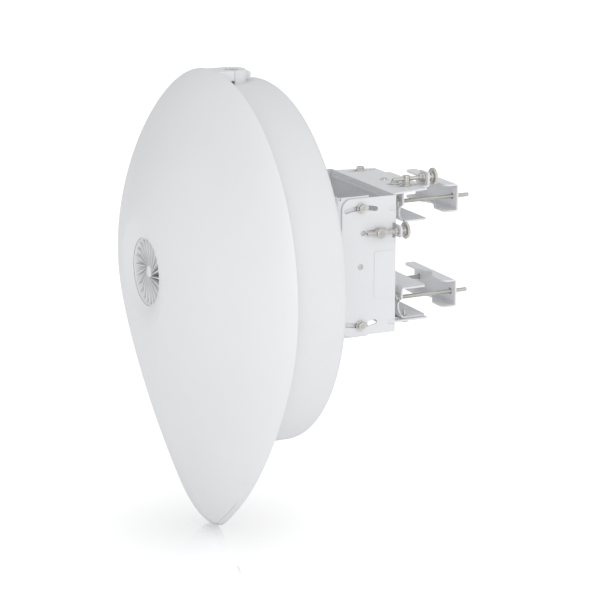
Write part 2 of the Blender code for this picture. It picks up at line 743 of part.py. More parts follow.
def make_pedestal():
    """A cast frame that carries the tilt bracket clear of the drum."""
    front = DRUM_BACK_Y + GAP
    back = INNER_WEB_Y[0] - GAP
    size_x = 0.092
    size_z = 0.099
    wall = 0.004
    outline = rounded([(-size_x, -size_z, 0.012), (size_x, -size_z, 0.012),
                       (size_x, size_z, 0.012), (-size_x, size_z, 0.012)])
    hollow = rounded([(-size_x + wall, -size_z + wall, 0.008),
                      (size_x - wall, -size_z + wall, 0.008),
                      (size_x - wall, size_z - wall, 0.008),
                      (-size_x + wall, size_z - wall, 0.008)])
    pedestal = add_part("dish_pedestal", extruded([outline, hollow], front, back, "XZ"),
                        "cast", TILT)
    floor = extruded([hollow_overlap(size_x - wall / 2, size_z - wall / 2)], front,
                     front + 0.004, "XZ")
    join(pedestal, floor)
    bosses = [rod((x, front + 0.001, z), "+Y", back - front - 0.001, 0.0095, 12)
              for x, z in BRACKET_BOLTS]
    bosses += [rod((x, front + 0.001, z), "+Y", 0.015, 0.0080, 12) for x, z in PEDESTAL_SCREWS]
    join(pedestal, merged(*bosses))
    outside = box((-size_x, front - 0.01, -size_z), (size_x, back + 0.01, size_z))
    keep_inside(pedestal, outside)
    holes = [rod((x, back - 0.021, z), "+Y", 0.03, CLEAR_R, 12) for x, z in BRACKET_BOLTS]
    holes += [rod((x, front - 0.005, z), "+Y", 0.018, CLEAR_R, 12) for x, z in PEDESTAL_SCREWS]
    cut(pedestal, merged(*holes))


def hollow_overlap(size_x, size_z):
    return rounded([(-size_x, -size_z, 0.010), (size_x, -size_z, 0.010), (size_x, size_z, 0.010),
                    (-size_x, size_z, 0.010)])


def side_view(points, low_x, high_x):
    return extruded([rounded(points)], low_x, high_x, "YZ")


def make_inner_bracket():
    """A U of sheet: the web bolts to the pedestal and the sides run back past the pivot."""
    middle = INNER_WEB_Y[0] + SHEET / 2
    side = INNER_X - SHEET / 2
    back = TILT_Y + 0.0455
    outline = sheet([(-side, back), (-side, middle), (side, middle), (side, back)])
    bracket = add_part("inner_tilt_bracket", extruded([outline], INNER_BOTTOM, INNER_TOP, "XY"),
                       "painted", TILT)
    front = INNER_WEB_Y[0] - 0.01
    shape = [(front, INNER_BOTTOM - 0.01, 0), (TILT_Y + 0.013, INNER_BOTTOM - 0.01, 0),
             (TILT_Y + 0.013, -0.068, 0), (back, -0.020, 0.008), (back, 0.026, 0.008),
             (TILT_BARREL_Y + 0.0083, 0.069, 0.004), (TILT_Y + 0.013, 0.075, 0),
             (TILT_Y + 0.013, INNER_TOP + 0.01, 0), (front, INNER_TOP + 0.01, 0)]
    keep_inside(bracket, side_view(shape, -0.12, 0.12))
    window = rounded([(-0.055, -0.060, 0.012), (0.055, -0.060, 0.012), (0.055, 0.060, 0.012),
                      (-0.055, 0.060, 0.012)])
    cut(bracket, extruded([window], front, INNER_WEB_Y[1] + 0.01, "XZ"))
    relief = [side_view([(INNER_WEB_Y[1] - 0.0005, z - 0.004, 0), (INNER_WEB_Y[1] + 0.003,
              z - 0.004, 0), (INNER_WEB_Y[1] + 0.003, z + 0.004, 0), (INNER_WEB_Y[1] - 0.0005,
              z + 0.004, 0)], side, side + 0.02) for z in (INNER_TOP, INNER_BOTTOM)]
    cut(bracket, merged(*relief))
    holes = [rod((-0.12, TILT_Y, z), "+X", 0.24, CLEAR_R, 12)
             for z in (TILT_SLOT_R, -TILT_SLOT_R)]
    holes.append(rod((-0.12, TILT_Y, 0), "+X", 0.24, 0.00408))
    holes += [rod((x, INNER_WEB_Y[0] - 0.004, z), "+Y", 0.010, CLEAR_R, 12)
              for x, z in BRACKET_BOLTS]
    fork = slot((TILT_BARREL_Y, TILT_SCREW_Z - 0.006), (TILT_BARREL_Y, TILT_SCREW_Z + 0.009),
                0.0049)
    holes.append(extruded([fork], 0.08, 0.12, "YZ"))
    cut(bracket, merged(*holes))


def make_dish_fasteners():
    add_copies("bracket_bolt", screw_shape(0.018, 0.0062), "stainless", TILT,
               [((x, INNER_WEB_Y[1] + GAP, z), "+Y") for x, z in BRACKET_BOLTS])
    add_copies("tilt_lock_bolt", screw_shape(0.0165, 0.0068), "stainless", TILT,
               [((sign * (SIDE_X + TILT_GAP), TILT_Y, z), f"{'+' if sign > 0 else '-'}X")
                for sign in (1, -1) for z in (TILT_SLOT_R, -TILT_SLOT_R)])


# ---------------------------------------------------------------- outer bracket
def make_outer_bracket():
    """One bent sheet: sides forward to the tilt pivot, flanges back to the pole bracket."""
    middle = WEB_Y[0] + SHEET / 2
    side = SIDE_X - SHEET / 2
    outline = sheet([(-side, SIDE_FRONT_Y), (-side, middle), (side, middle),
                     (side, SIDE_FRONT_Y)])
    bracket = add_part("outer_bracket", extruded([outline], SIDE_BOTTOM, SIDE_TOP, "XY"),
                       "painted", TURN)
    corner = 0.014
    back = WEB_Y[1] + 0.01
    shape = [(SIDE_FRONT_Y, SIDE_BOTTOM, corner), (back, SIDE_BOTTOM, 0), (back, SIDE_TOP, 0),
             (SIDE_FRONT_Y, SIDE_TOP, corner)]
    keep_inside(bracket, side_view(shape, -0.12, 0.12))
    top = SIDE_TOP - SHEET / 2
    bottom = SIDE_BOTTOM + SHEET / 2
    profile = sheet([(TOP_FLANGE_END_Y, top), (middle, top), (middle, bottom), (JAW_EDGE_Y, bottom)])
    flanges = extruded([profile], -0.091, 0.091, "YZ")
    join(bracket, flanges)
    cut_x = 0.095
    trims = []
    for sign in (1, -1):
        upper = [(sign * 0.0905, WEB_Y[1] + 0.0005), (sign * 0.079, TOP_FLANGE_END_Y + 0.001),
                 (sign * 0.1, TOP_FLANGE_END_Y + 0.001), (sign * 0.1, WEB_Y[1] + 0.0005)]
        trims.append(extruded([upper], SIDE_TOP - 0.006, SIDE_TOP + 0.004, "XY"))
        lower = [(sign * 0.062, WEB_Y[1] + 0.0005), (sign * 0.062, JAW_EDGE_Y + 0.003),
                 (sign * cut_x, JAW_EDGE_Y + 0.003), (sign * cut_x, WEB_Y[1] + 0.0005)]
        trims.append(extruded([lower], SIDE_BOTTOM - 0.004, SIDE_BOTTOM + 0.008, "XY"))
    cut(bracket, merged(*trims))
    tongue = sheet([(TOP_FLANGE_END_Y - 0.004, top), (TURN_TAB_Y, top), (TURN_TAB_Y, 0.1155)])
    join(bracket, extruded([tongue], 0.041, 0.066, "YZ"))
    tab = rounded([(0.098, TILT_SCREW_Z - 0.0085, 0), (0.1185, TILT_SCREW_Z - 0.0085, 0.004),
                   (0.1185, TILT_SCREW_Z + 0.0085, 0.004), (0.098, TILT_SCREW_Z + 0.0085, 0)])
    notch = box((0.098, WEB_Y[0] - 0.0045, TILT_SCREW_Z - 0.0105),
                (0.105, WEB_Y[1] + 0.004, TILT_SCREW_Z + 0.0105))
    cut(bracket, notch)
    join(bracket, extruded([tab_with_root(tab)], WEB_Y[0], WEB_Y[1], "XZ"))
    pads = rounded([(TILT_Y + 0.021, -0.047, 0.003), (WEB_Y[0] - 0.001, -0.047, 0.003),
                    (WEB_Y[0] - 0.001, 0.0195, 0.003), (TILT_Y + 0.021, 0.0195, 0.003)])
    raised = [extruded([pads], SIDE_X - 0.001, SIDE_X + 0.0004, "YZ")]
    for z in (0.079, -0.084):
        dimple = slot((WEB_Y[0] - 0.010, z), (WEB_Y[0] - 0.0055, z), 0.0032)
        raised.append(extruded([dimple], SIDE_X - 0.001, SIDE_X + 0.0005, "YZ"))
    join(bracket, merged(*raised))
    cut(bracket, merged(*outer_bracket_holes()))
    screw_holes = [rod((TURN_SCREW_X, TURN_TAB_Y - 0.01, TURN_SCREW_Z), "+Y", 0.02, 0.0033, 12),
                   rod((TILT_SCREW_X, WEB_Y[0] - 0.01, TILT_SCREW_Z), "+Y", 0.02, 0.0033, 18)]
    cut(bracket, merged(*screw_holes))


def tab_with_root(tab):
    """The tab's outline, run inwards so that it joins the web past the notch."""
    return [(0.090, tab[0][1])] + tab[1:-1] + [(0.090, tab[-1][1])]


def outer_bracket_holes():
    holes = []
    swing = math.degrees(TILT_RANGE) + 0.6
    for middle in (90, -90):
        outline = arc_slot((TILT_Y, 0), TILT_SLOT_R, middle, swing, 0.0035)
        holes.append(extruded([outline], -0.12, 0.12, "YZ"))
    holes.append(rod((-0.12, TILT_Y, 0), "+X", 0.24, 0.00408))
    travel = 0.0137
    stem = slot((TILT_BARREL_Y - travel, TILT_SCREW_Z), (TILT_BARREL_Y + travel, TILT_SCREW_Z),
                0.0033)
    holes.append(extruded([stem], 0.096, 0.12, "YZ"))
    turn = math.degrees(TURN_RANGE) + 0.6
    top = (SIDE_TOP - 0.006, SIDE_TOP + 0.002)
    bottom = (SIDE_BOTTOM - 0.002, SIDE_BOTTOM + 0.006)
    locks = [(LOCK_FAR, top), (LOCK_NEAR, top)]
    locks += [((sign * LOCK_LOW_X, LOCK_LOW_Y), bottom) for sign in (1, -1)]
    for (x, y), depth in locks:
        reach = math.hypot(x, y - TURN_Y)
        middle = math.degrees(math.atan2(y - TURN_Y, x))
        holes.append(extruded([arc_slot((0, TURN_Y), reach, middle, turn, CLEAR_R)], *depth, "XY"))
    reach = TURN_SCREW_X * TURN_RANGE + 0.0006
    stem = slot((TURN_SCREW_X, TURN_BARREL_Y - reach), (TURN_SCREW_X, TURN_BARREL_Y + reach),
                0.0033)
    holes.append(extruded([stem], *top, "XY"))
    holes += [rod((0, TURN_Y, low), "+Z", 0.008, 0.0047) for low in (top[0], bottom[0])]
    return holes


def make_keyhole():
    """The round eye and thin slit at the front end of the tilt screw's slot."""
    bracket = bpy.data.objects["outer_bracket"]
    front = TILT_Y + 0.0032
    slit = slot((front, TILT_SCREW_Z), (TILT_BARREL_Y - 0.012, TILT_SCREW_Z), 0.0009, 3)
    cut(bracket, extruded([slit], 0.096, 0.12, "YZ"))
    cut(bracket, rod((0.096, front, TILT_SCREW_Z), "+X", 0.02, 0.0039, 18))


def make_tilt_pivots():
    """Rivets that join the two U brackets, fixed in the outer one."""
    for number, (sign, inward) in enumerate(((1, "-X"), (-1, "+X")), 1):
        rivet = [(0, 0), (0, 0.0036), (0.0004, 0.0040), (0.0067, 0.0040), (0.0067, 0.0060),
                 (0.0087, 0.0060), (0.0087, 0)]
        add_turned(f"tilt_pivot_pin_{number}", rivet, "stainless", TURN,
                   (sign * (SIDE_X + 0.0007), TILT_Y, 0), inward, steps=16)


def thumbscrew_profile(thread, neck):
    """A screw from its tip to the outer face of its knurled wheel, as (height, radius)."""
    wheel = thread + neck
    return [(0, 0), (0, 0.0024), (0.0008, THREAD_R), (thread, THREAD_R), (thread, 0.0050),
            (thread + 0.0015, 0.0040), (wheel, 0.0040), (wheel + 0.0006, 0.0113),
            (wheel + 0.0014, 0.0121), (wheel + 0.0040, 0.0121), (wheel + 0.0048, 0.0113),
            (wheel + 0.0048, 0)]


def make_tilt_adjuster():
    axis = Vector((TILT_SCREW_X, 0, TILT_SCREW_Z))
    barrel = [(0, 0), (0, 0.0030), (0.0065, 0.0030), (0.0065, 0.0060), (0.0180, 0.0060),
              (0.0180, 0.0070), (0.0200, 0.0070), (0.0208, 0.0062), (0.0208, 0)]
    stem = (SIDE_X - 0.006, TILT_BARREL_Y, TILT_SCREW_Z)
    body = add_turned("tilt_barrel", barrel, "stainless", TILT_SLIDE, stem, "+X", steps=20)
    cut(body, rod(axis + Vector((0, TILT_BARREL_Y - 0.02, 0)), "+Y", 0.04, 0.0033, 12))
    jam = axis + Vector((0, TILT_BARREL_Y + 0.0073, 0))
    add_part("tilt_jam_nut", placed(nut_shape(0.0034, 0.0033), jam, "+Y"), "stainless", TILT_SLIDE)
    tip = TILT_BARREL_Y - 0.0195
    shoulder = WEB_Y[1] + GAP
    add_turned("tilt_thumbscrew", thumbscrew_profile(shoulder - tip, 0.0070), "stainless",
               TILT_SPIN, axis + Vector((0, tip, 0)), "+Y", steps=20)
    collar = axis + Vector((0, WEB_Y[0] - GAP, 0))
    add_part("tilt_collar_nut", placed(nut_shape(0.0045, 0.0033), collar, "-Y"), "stainless",
             TILT_SPIN)


def make_turn_adjuster():
    axis = Vector((TURN_SCREW_X, 0, TURN_SCREW_Z))
    barrel = [(-0.0053, 0), (-0.0053, 0.0030), (0, 0.0030), (0, 0.0066), (0.0014, 0.0066),
              (0.0022, 0.0054), (0.0136, 0.0054), (0.0146, 0.0047), (0.0146, 0)]
    foot = (TURN_SCREW_X, TURN_BARREL_Y, SIDE_TOP + GAP)
    body = add_turned("turn_barrel", barrel, "stainless", TURN_SLIDE, foot, steps=20)
    cut(body, rod(axis + Vector((0, TURN_BARREL_Y - 0.02, 0)), "+Y", 0.04, 0.0033, 12))
    tip = TURN_BARREL_Y - 0.0212
    shoulder = TURN_TAB_Y + SHEET / 2 + GAP
    add_turned("turn_thumbscrew", thumbscrew_profile(shoulder - tip, 0.0100), "stainless",
               TURN_SPIN, axis + Vector((0, tip, 0)), "+Y", steps=20)
    collar = axis + Vector((0, TURN_TAB_Y - SHEET / 2 - GAP, 0))
    add_part("turn_collar_nut", placed(nut_shape(0.0075, 0.0033, flange=0.0068), collar, "-Y"),
             "stainless", TURN_SPIN)


# ---------------------------------------------------------------- pole bracket and clamps
def make_pole_bracket():
    """Two channels that bear on the pole, joined by a narrow spine."""
    middle = POLE_WEB_Y[0] + SHEET / 2
    bodies = []
    for low, high in (UPPER_JAW_Z, LOWER_JAW_Z):
        low += SHEET / 2
        high -= SHEET / 2
        path = [(JAW_EDGE_Y, high), (middle, high), (middle, low), (JAW_EDGE_Y, low)]
        bodies.append(extruded([sheet(path)], -JAW_X, JAW_X, "YZ"))
    bracket = add_part("pole_bracket", merged(*bodies), "painted")
    spine = rounded([(-0.030, LOWER_JAW_Z[1] - 0.012, 0), (0.030, LOWER_JAW_Z[1] - 0.012, 0),
                     (0.030, UPPER_JAW_Z[0] + 0.012, 0), (-0.030, UPPER_JAW_Z[0] + 0.012, 0)])
    join(bracket, extruded([spine], POLE_WEB_Y[0], POLE_WEB_Y[1], "XZ"))
    flat_y = POLE_WEB_Y[0] + 0.006
    upper_plate = rounded([(-0.0815, -0.0680, 0.004), (0.0660, -0.0655, 0.004),
                           (0.0660, -0.0410, 0.004), (0.0480, -0.0410, 0), (0.0480, flat_y, 0),
                           (-0.0480, flat_y, 0), (-0.0480, -0.0430, 0), (-0.0600, -0.0430, 0.004),
                           (-0.0815, -0.0520, 0.004)])
    lower_plate = rounded([(-0.0140, -0.0690, 0.006), (0.0140, -0.0690, 0.006),
                           (0.0240, flat_y, 0), (-0.0240, flat_y, 0)])
    join(bracket, extruded([upper_plate], UPPER_JAW_Z[1] - SHEET, UPPER_JAW_Z[1], "XY"))
    join(bracket, extruded([lower_plate], LOWER_JAW_Z[0], LOWER_JAW_Z[0] + SHEET, "XY"))
    nut_room = box((LOCK_NEAR[0] - 0.008, POLE_WEB_Y[0] - 0.004, UPPER_JAW_Z[1] - 0.011),
                   (LOCK_NEAR[0] + 0.008, POLE_WEB_Y[1] + 0.004, UPPER_JAW_Z[1] - SHEET))
    cut(bracket, nut_room)
    corners = []
    for low, high in ((UPPER_JAW_Z[0], UPPER_JAW_Z[1]), (LOWER_JAW_Z[0], LOWER_JAW_Z[1])):
        for sign in (1, -1):
            centre = (sign * (JAW_X - 0.005), JAW_EDGE_Y - 0.005)
            start = 0 if sign > 0 else 180
            edge = arc(centre, 0.005, start, 90, 4)
            outline = edge + [(sign * (JAW_X - 0.005), JAW_EDGE_Y + 0.002),
                              (sign * (JAW_X + 0.002), JAW_EDGE_Y + 0.002),
                              (sign * (JAW_X + 0.002), JAW_EDGE_Y - 0.005)]
            corners.append(extruded([outline], low - 0.002, high + 0.002, "XY"))
    cut(bracket, merged(*corners))
    holes = []
    for z in ROD_Z:
        for x in (-ROD_X, ROD_X):
            holes.append(rod((x, POLE_WEB_Y[0] - 0.004, z), "+Y", 0.012, CLEAR_R, 12))
    for z in (UPPER_JAW_Z[0] + 0.0125, LOWER_JAW_Z[0] + 0.0165):
        for x in (-JAW_X, JAW_X):
            holes.append(rod((x, POLE_WEB_Y[0] - 0.003, z), "+Y", 0.0068, 0.0115, 20))
    cut(bracket, merged(*holes))
    bores = []
    top = UPPER_JAW_Z[1] - 0.008
    bottom = LOWER_JAW_Z[0] - 0.002
    for x, y in (LOCK_FAR, LOCK_NEAR):
        bores.append(rod((x, y, top), "+Z", 0.010, CLEAR_R, 12))
    fork = slot((TURN_SCREW_X - 0.0013, TURN_BARREL_Y - 0.0002),
                (TURN_SCREW_X + 0.0036, TURN_BARREL_Y - 0.0002), 0.0042)
    bores.append(extruded([fork], top + 0.004, top + 0.012, "XY"))
    for x in (-LOCK_LOW_X, LOCK_LOW_X):
        bores.append(rod((x, LOCK_LOW_Y, bottom), "+Z", 0.010, CLEAR_R, 12))
    bores += [rod((0, TURN_Y, low), "+Z", 0.012, 0.0046) for low in (top, bottom - 0.002)]
    cut(bracket, merged(*bores))
    return bracket


def make_turn_pivots():
    """Rivets through the outer bracket's flanges, riveted over inside the pole bracket."""
    head = 0.0012
    grip = head + GAP + SHEET + GAP + SHEET + GAP
    profile = [(0, 0), (0, 0.0050), (head * 0.5, 0.0062), (head, 0.0062), (head, 0.0045),
               (grip, 0.0045), (grip + 0.0004, 0.0042), (grip + 0.0004, 0)]
    ends = ((SIDE_TOP + GAP + head, "-Z"), (SIDE_BOTTOM - GAP - head, "+Z"))
    for number, (z, inward) in enumerate(ends, 1):
        add_turned(f"turn_pivot_pin_{number}", profile, "stainless", None, (0, TURN_Y, z), inward,
                   steps=16)


def make_turn_locks():
    add_copies("upper_turn_bolt", screw_shape(0.0105, 0.0055), "stainless", None,
               [((x, y, SIDE_TOP + GAP), "+Z") for x, y in (LOCK_FAR, LOCK_NEAR)])
    add_copies("lower_turn_bolt", screw_shape(0.0145, 0.0045), "stainless", None,
               [((x, LOCK_LOW_Y, SIDE_BOTTOM - GAP), "-Z") for x in (LOCK_LOW_X, -LOCK_LOW_X)])


def make_rods():
    length = ROD_ENDS_Y[1] - ROD_ENDS_Y[0]
    stud = [(0, 0), (0, 0.0022), (0.0008, THREAD_R), (length - 0.0008, THREAD_R),
            (length, 0.0022), (length, 0)]
    places = [(x, ROD_ENDS_Y[0], z) for z in ROD_Z for x in (-ROD_X, ROD_X)]
    for number, place in enumerate(places, 1):
        add_turned(f"clamp_rod_{number}", stud, "zinc", None, place, "+Y", steps=12)


def make_clamp(name, z, joint):
    """A channel with a V across its flanges that pulls the pole against the jaws."""
    middle_y = CLAMP_WEB_BACK_Y - SHEET / 2
    tip = CLAMP_WEB_BACK_Y - CLAMP_DEPTH
    half = CLAMP_HALF_Z - SHEET / 2
    path = [(tip, z + half), (middle_y, z + half), (middle_y, z - half), (tip, z - half)]
    clamp = add_part(f"{name}_clamp", extruded([sheet(path)], -CLAMP_X, CLAMP_X, "YZ"),
                     "painted", joint)
    notch = [(-0.029, tip - 0.004), (-0.029, tip), (-0.004, tip + 0.0130), (0.004, tip + 0.0130),
             (0.029, tip), (0.029, tip - 0.004)]
    trims = [extruded([notch], z - 0.03, z + 0.03, "XY")]
    for sign in (1, -1):
        centre = (sign * (CLAMP_X - 0.009), tip + 0.009)
        start = 0 if sign > 0 else -180
        edge = arc(centre, 0.009, start, -90, 4)
        outline = edge + [(sign * (CLAMP_X - 0.009), tip - 0.002),
                          (sign * (CLAMP_X + 0.002), tip - 0.002),
                          (sign * (CLAMP_X + 0.002), tip + 0.009)]
        trims.append(extruded([outline], z - 0.03, z + 0.03, "XY"))
    cut(clamp, merged(*trims))
    cut(clamp, merged(*[rod((x, middle_y - 0.006, z), "+Y", 0.012, CLEAR_R, 12)
                        for x in (-ROD_X, ROD_X)]))
    add_copies(f"{name}_clamp_nut", nut_shape(0.0060, 0.0034, flange=0.0068), "stainless", joint,
               [((x, CLAMP_WEB_BACK_Y + GAP, z), "+Y") for x in (-ROD_X, ROD_X)])


# ---------------------------------------------------------------- assembly
clear_scene()
PARTS = new_collection("outdoor_wireless_bridge")
CUTTERS = new_collection("cutters")
MATERIALS = {
    "radome": new_material("radome", (0.78, 0.79, 0.80), 0.45),
    "housing": new_material("housing", (0.74, 0.75, 0.76), 0.50),
    "heat_sink": new_material("heat_sink", (0.72, 0.73, 0.74), 0.45),
    "painted": new_material("painted", (0.72, 0.73, 0.75), 0.45),
    "cast": new_material("cast", (0.66, 0.67, 0.68), 0.55),
    "stainless": new_material("stainless", (0.55, 0.54, 0.52), 0.35, 1.0),
    "zinc": new_material("zinc", (0.50, 0.50, 0.48), 0.45, 1.0),
    "aluminium": new_material("aluminium", (0.72, 0.73, 0.74), 0.35, 1.0),
    "tin": new_material("tin", (0.65, 0.65, 0.64), 0.35, 1.0),
    "plastic": new_material("plastic", (0.80, 0.80, 0.78), 0.50),
    "black_plastic": new_material("black_plastic", (0.03, 0.03, 0.03), 0.55),
    "rubber": new_material("rubber", (0.04, 0.04, 0.04), 0.75),
    "circuit_board": new_material("circuit_board", (0.02, 0.14, 0.06), 0.45),
    "cable": new_material("cable", (0.05, 0.05, 0.05), 0.60),
}
TILT = new_joint("tilt_axis", (0, TILT_Y, 0))
TURN = new_joint("turn_axis", (0, TURN_Y, 0))
TILT_SLIDE = new_joint("tilt_barrel_slide", (TILT_SCREW_X, TILT_BARREL_Y, TILT_SCREW_Z))
TILT_SPIN = new_joint("tilt_screw_axis", (TILT_SCREW_X, TILT_BARREL_Y, TILT_SCREW_Z))
TURN_SLIDE = new_joint("turn_barrel_slide", (TURN_SCREW_X, TURN_BARREL_Y, TURN_SCREW_Z))
TURN_SPIN = new_joint("turn_screw_axis", (TURN_SCREW_X, TURN_BARREL_Y, TURN_SCREW_Z))
UPPER_SLIDE = new_joint("upper_clamp_slide", (0, CLAMP_WEB_BACK_Y, ROD_Z[0]))
LOWER_SLIDE = new_joint("lower_clamp_slide", (0, CLAMP_WEB_BACK_Y, ROD_Z[1]))

make_front_cover()
make_rear_housing()
make_rim_gasket()
make_heat_sink()
make_radio()
make_reflector()
make_inner_cable()
make_ports()
make_pedestal()
make_inner_bracket()
make_dish_fasteners()
make_outer_bracket()
make_keyhole()
make_tilt_pivots()
make_tilt_adjuster()
make_turn_adjuster()
make_pole_bracket()
make_turn_pivots()
make_turn_locks()
make_rods()
make_clamp("upper", ROD_Z[0], UPPER_SLIDE)
make_clamp("lower", ROD_Z[1], LOWER_SLIDE)
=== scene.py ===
"""Looks of the outdoor wireless bridge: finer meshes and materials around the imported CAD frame.

Metres, +Z up. The dish looks along -Y and the pole that the bracket grips is the Z axis.
"""
import math

import bmesh
import bpy
from mathutils import Matrix, Vector


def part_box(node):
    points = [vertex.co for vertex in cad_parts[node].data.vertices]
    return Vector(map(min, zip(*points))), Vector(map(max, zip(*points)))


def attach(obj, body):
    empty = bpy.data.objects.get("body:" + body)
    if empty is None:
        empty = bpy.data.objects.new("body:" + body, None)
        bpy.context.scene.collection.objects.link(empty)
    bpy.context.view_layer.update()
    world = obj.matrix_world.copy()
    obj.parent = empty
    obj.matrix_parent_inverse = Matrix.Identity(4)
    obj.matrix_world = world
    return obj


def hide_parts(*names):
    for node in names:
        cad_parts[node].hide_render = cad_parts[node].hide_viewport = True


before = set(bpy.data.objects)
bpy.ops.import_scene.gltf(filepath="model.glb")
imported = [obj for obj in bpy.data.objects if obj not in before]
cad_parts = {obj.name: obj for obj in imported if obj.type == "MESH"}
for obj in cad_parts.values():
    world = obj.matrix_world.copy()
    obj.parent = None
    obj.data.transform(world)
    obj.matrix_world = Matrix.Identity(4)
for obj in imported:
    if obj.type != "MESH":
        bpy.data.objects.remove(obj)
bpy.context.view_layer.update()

# ---------------------------------------------------------------- sizes taken from the frame
COVER_LOW, COVER_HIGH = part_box("front_cover")
RIM_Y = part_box("port_panel")[0].y + 0.0003  # plane of the front cover's rear edge
NOSE_Y = COVER_LOW.y
RIM_R = COVER_HIGH.x
TIP_DEPTH = -COVER_LOW.z
DRUM_BACK_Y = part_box("rear_housing")[1].y
SIDE_X = 0.1025                            # outer face of the outer bracket's sides
SIDE_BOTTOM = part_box("outer_bracket")[0].z
SIDE_TOP = 0.097
SIDE_FRONT_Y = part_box("outer_bracket")[0].y
JAW_EDGE_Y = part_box("pole_bracket")[1].y
JAW_X = 0.057
UPPER_JAW_Z = (0.0455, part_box("pole_bracket")[1].z)
LOWER_JAW_Z = (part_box("pole_bracket")[0].z, -0.050)
ROD_LOW, ROD_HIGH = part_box("clamp_rod_1")
ROD_X = 0.0474
ROD_Z = (0.0741, -0.066)
CLAMP_LOW, CLAMP_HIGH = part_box("upper_clamp")

# ---------------------------------------------------------------- other sizes
SHEET = 0.0025                             # bracket sheet
BEND = 0.003                               # middle radius of a sheet bend
GAP = 0.0003                               # left between pieces that bear on each other
THREAD_R = 0.003                           # M6
PITCH = 0.001
HALF_FLATS = 0.0050                        # half the width across a hexagon's flats
FLANGE_R = 0.0071                          # of a flange screw
NUT_BORE_R = 0.0031
CLEAR_R = 0.0034                           # hole for an M6 thread
STEM_R = 0.0033                            # slot or hole for a barrel's stem or a screw's neck
PIVOT_R = 0.00408                          # hole for a tilt pivot pin
THROUGH = 0.12                             # a tool this far out on both sides cuts both plates
FLANK_R = 0.642                            # the rim's long sides
TIP_R = 0.0506                             # the rim's chin
NOSE_R = 0.0755
NOSE_DROP = -0.0035
CRATER_R = 0.0675
CRATER_FLOOR_R = 0.0472
CRATER_FLOOR_Y = NOSE_Y + 0.0076
SINK_FRONT_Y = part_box("spiral_heat_sink")[0].y - 0.0002
COVER_WALL = 0.003
FLANGE_Y = RIM_Y - 0.0006                  # rear face of the housing's flange, inside the rim
PORT_BACK_Y = FLANGE_Y + 2 * GAP + SHEET   # where the glands and screws seat on the port panel
DRUM_R = 0.255
DRUM_EDGE_R = 0.010
HOUSING_WALL = 0.0027
FLANGE_INSET = 0.0058
PORT_X = (-0.018, 0.018)
PORT_Z = -0.312
VENT_X = 0.024                             # the ground screw is at -VENT_X
VENT_Z = -0.286
EYE_Y = -0.297
EYE_R = 0.021
EYE_HOLE_R = 0.0105
EYE_TOP = 0.2715
EYE_SPLIT_Y = -0.3006
VANES = 22
VANE_HUB_R = 0.0066                        # the blades point this far beside the axis
TILT_Y = -0.148
TILT_SLOT_R = 0.0835
RANGE = 15.6                               # half the swing of each adjusting slot, in degrees
WEB_Y = (-0.0945, -0.092)
INNER_X = 0.0997
INNER_WEB_Y = (-0.183, -0.1805)
INNER_TOP = 0.0995
INNER_BOTTOM = -0.1005
TILT_SCREW_X = 0.1095
TILT_SCREW_Z = 0.0475
TILT_BARREL_Y = -0.1228
TURN_Y = -0.059
TOP_FLANGE_END_Y = -0.033
TURN_SCREW_X = 0.0526
TURN_SCREW_Z = 0.1069
TURN_BARREL_Y = -0.0518
TURN_TAB_Y = -0.0228
POLE_WEB_Y = (-0.0595, -0.057)
LOCK_FAR = (-0.0725, -0.0604)
LOCK_NEAR = (0.035, -0.0605)
LOCK_LOW = (0.0478, -0.0495)
PEDESTAL_SCREWS = [(x, z) for x in (-0.060, 0.060) for z in (-0.080, 0.080)]
BRACKET_BOLTS = [(x, z) for x in (-0.078, 0.078) for z in (-0.092, 0.092)]

AXES = {
    "XY": Matrix.Identity(4),
    "YZ": Matrix(((0, 0, 1, 0), (1, 0, 0, 0), (0, 1, 0, 0), (0, 0, 0, 1))),
    "XZ": Matrix(((1, 0, 0, 0), (0, 0, -1, 0), (0, 1, 0, 0), (0, 0, 0, 1))),
}
TOWARDS = {
    "+X": Matrix.Rotation(math.pi / 2, 4, "Y"),
    "-X": Matrix.Rotation(-math.pi / 2, 4, "Y"),
    "+Y": Matrix.Rotation(-math.pi / 2, 4, "X"),
    "-Y": Matrix.Rotation(math.pi / 2, 4, "X"),
    "+Z": Matrix.Identity(4),
    "-Z": Matrix.Rotation(math.pi, 4, "X"),
}


# ---------------------------------------------------------------- shape helpers
def new_object(name, shape):
    mesh = bpy.data.meshes.new(name)
    shape.to_mesh(mesh)
    shape.free()
    item = bpy.data.objects.new(name, mesh)
    bpy.context.scene.collection.objects.link(item)
    return item


def baked(item):
    """The object's evaluated mesh as a bmesh; the object is removed."""
    graph = bpy.context.evaluated_depsgraph_get()
    mesh = bpy.data.meshes.new_from_object(item.evaluated_get(graph))
    shape = bmesh.new()
    shape.from_mesh(mesh)
    bpy.data.meshes.remove(mesh)
    bpy.data.objects.remove(item)
    return shape


def combined(shape, *steps, flat=True):
    """A shape after Boolean steps, each an operation and another shape.

    With flat, faces that lie in one plane are joined.
    """
    item = new_object("combined", shape)
    tools = []
    for operation, other in steps:
        bmesh.ops.recalc_face_normals(other, faces=other.faces)
        tool = new_object("tool", other)
        modifier = item.modifiers.new("step", "BOOLEAN")
        modifier.operation = operation
        modifier.solver = "EXACT"
        modifier.object = tool
        tools.append(tool)
    result = baked(item)
    for tool in tools:
        bpy.data.objects.remove(tool)
    bmesh.ops.remove_doubles(result, verts=result.verts, dist=1e-6)
    if flat:
        bmesh.ops.dissolve_limit(result, angle_limit=math.radians(0.3), verts=result.verts,
                                 edges=result.edges)
    return result


def merged(*shapes):
    """One bmesh that holds several separate closed shapes."""
    result = bmesh.new()
    for shape in shapes:
        mesh = bpy.data.meshes.new("merge")
        shape.to_mesh(mesh)
        shape.free()
        result.from_mesh(mesh)
        bpy.data.meshes.remove(mesh)
    return result


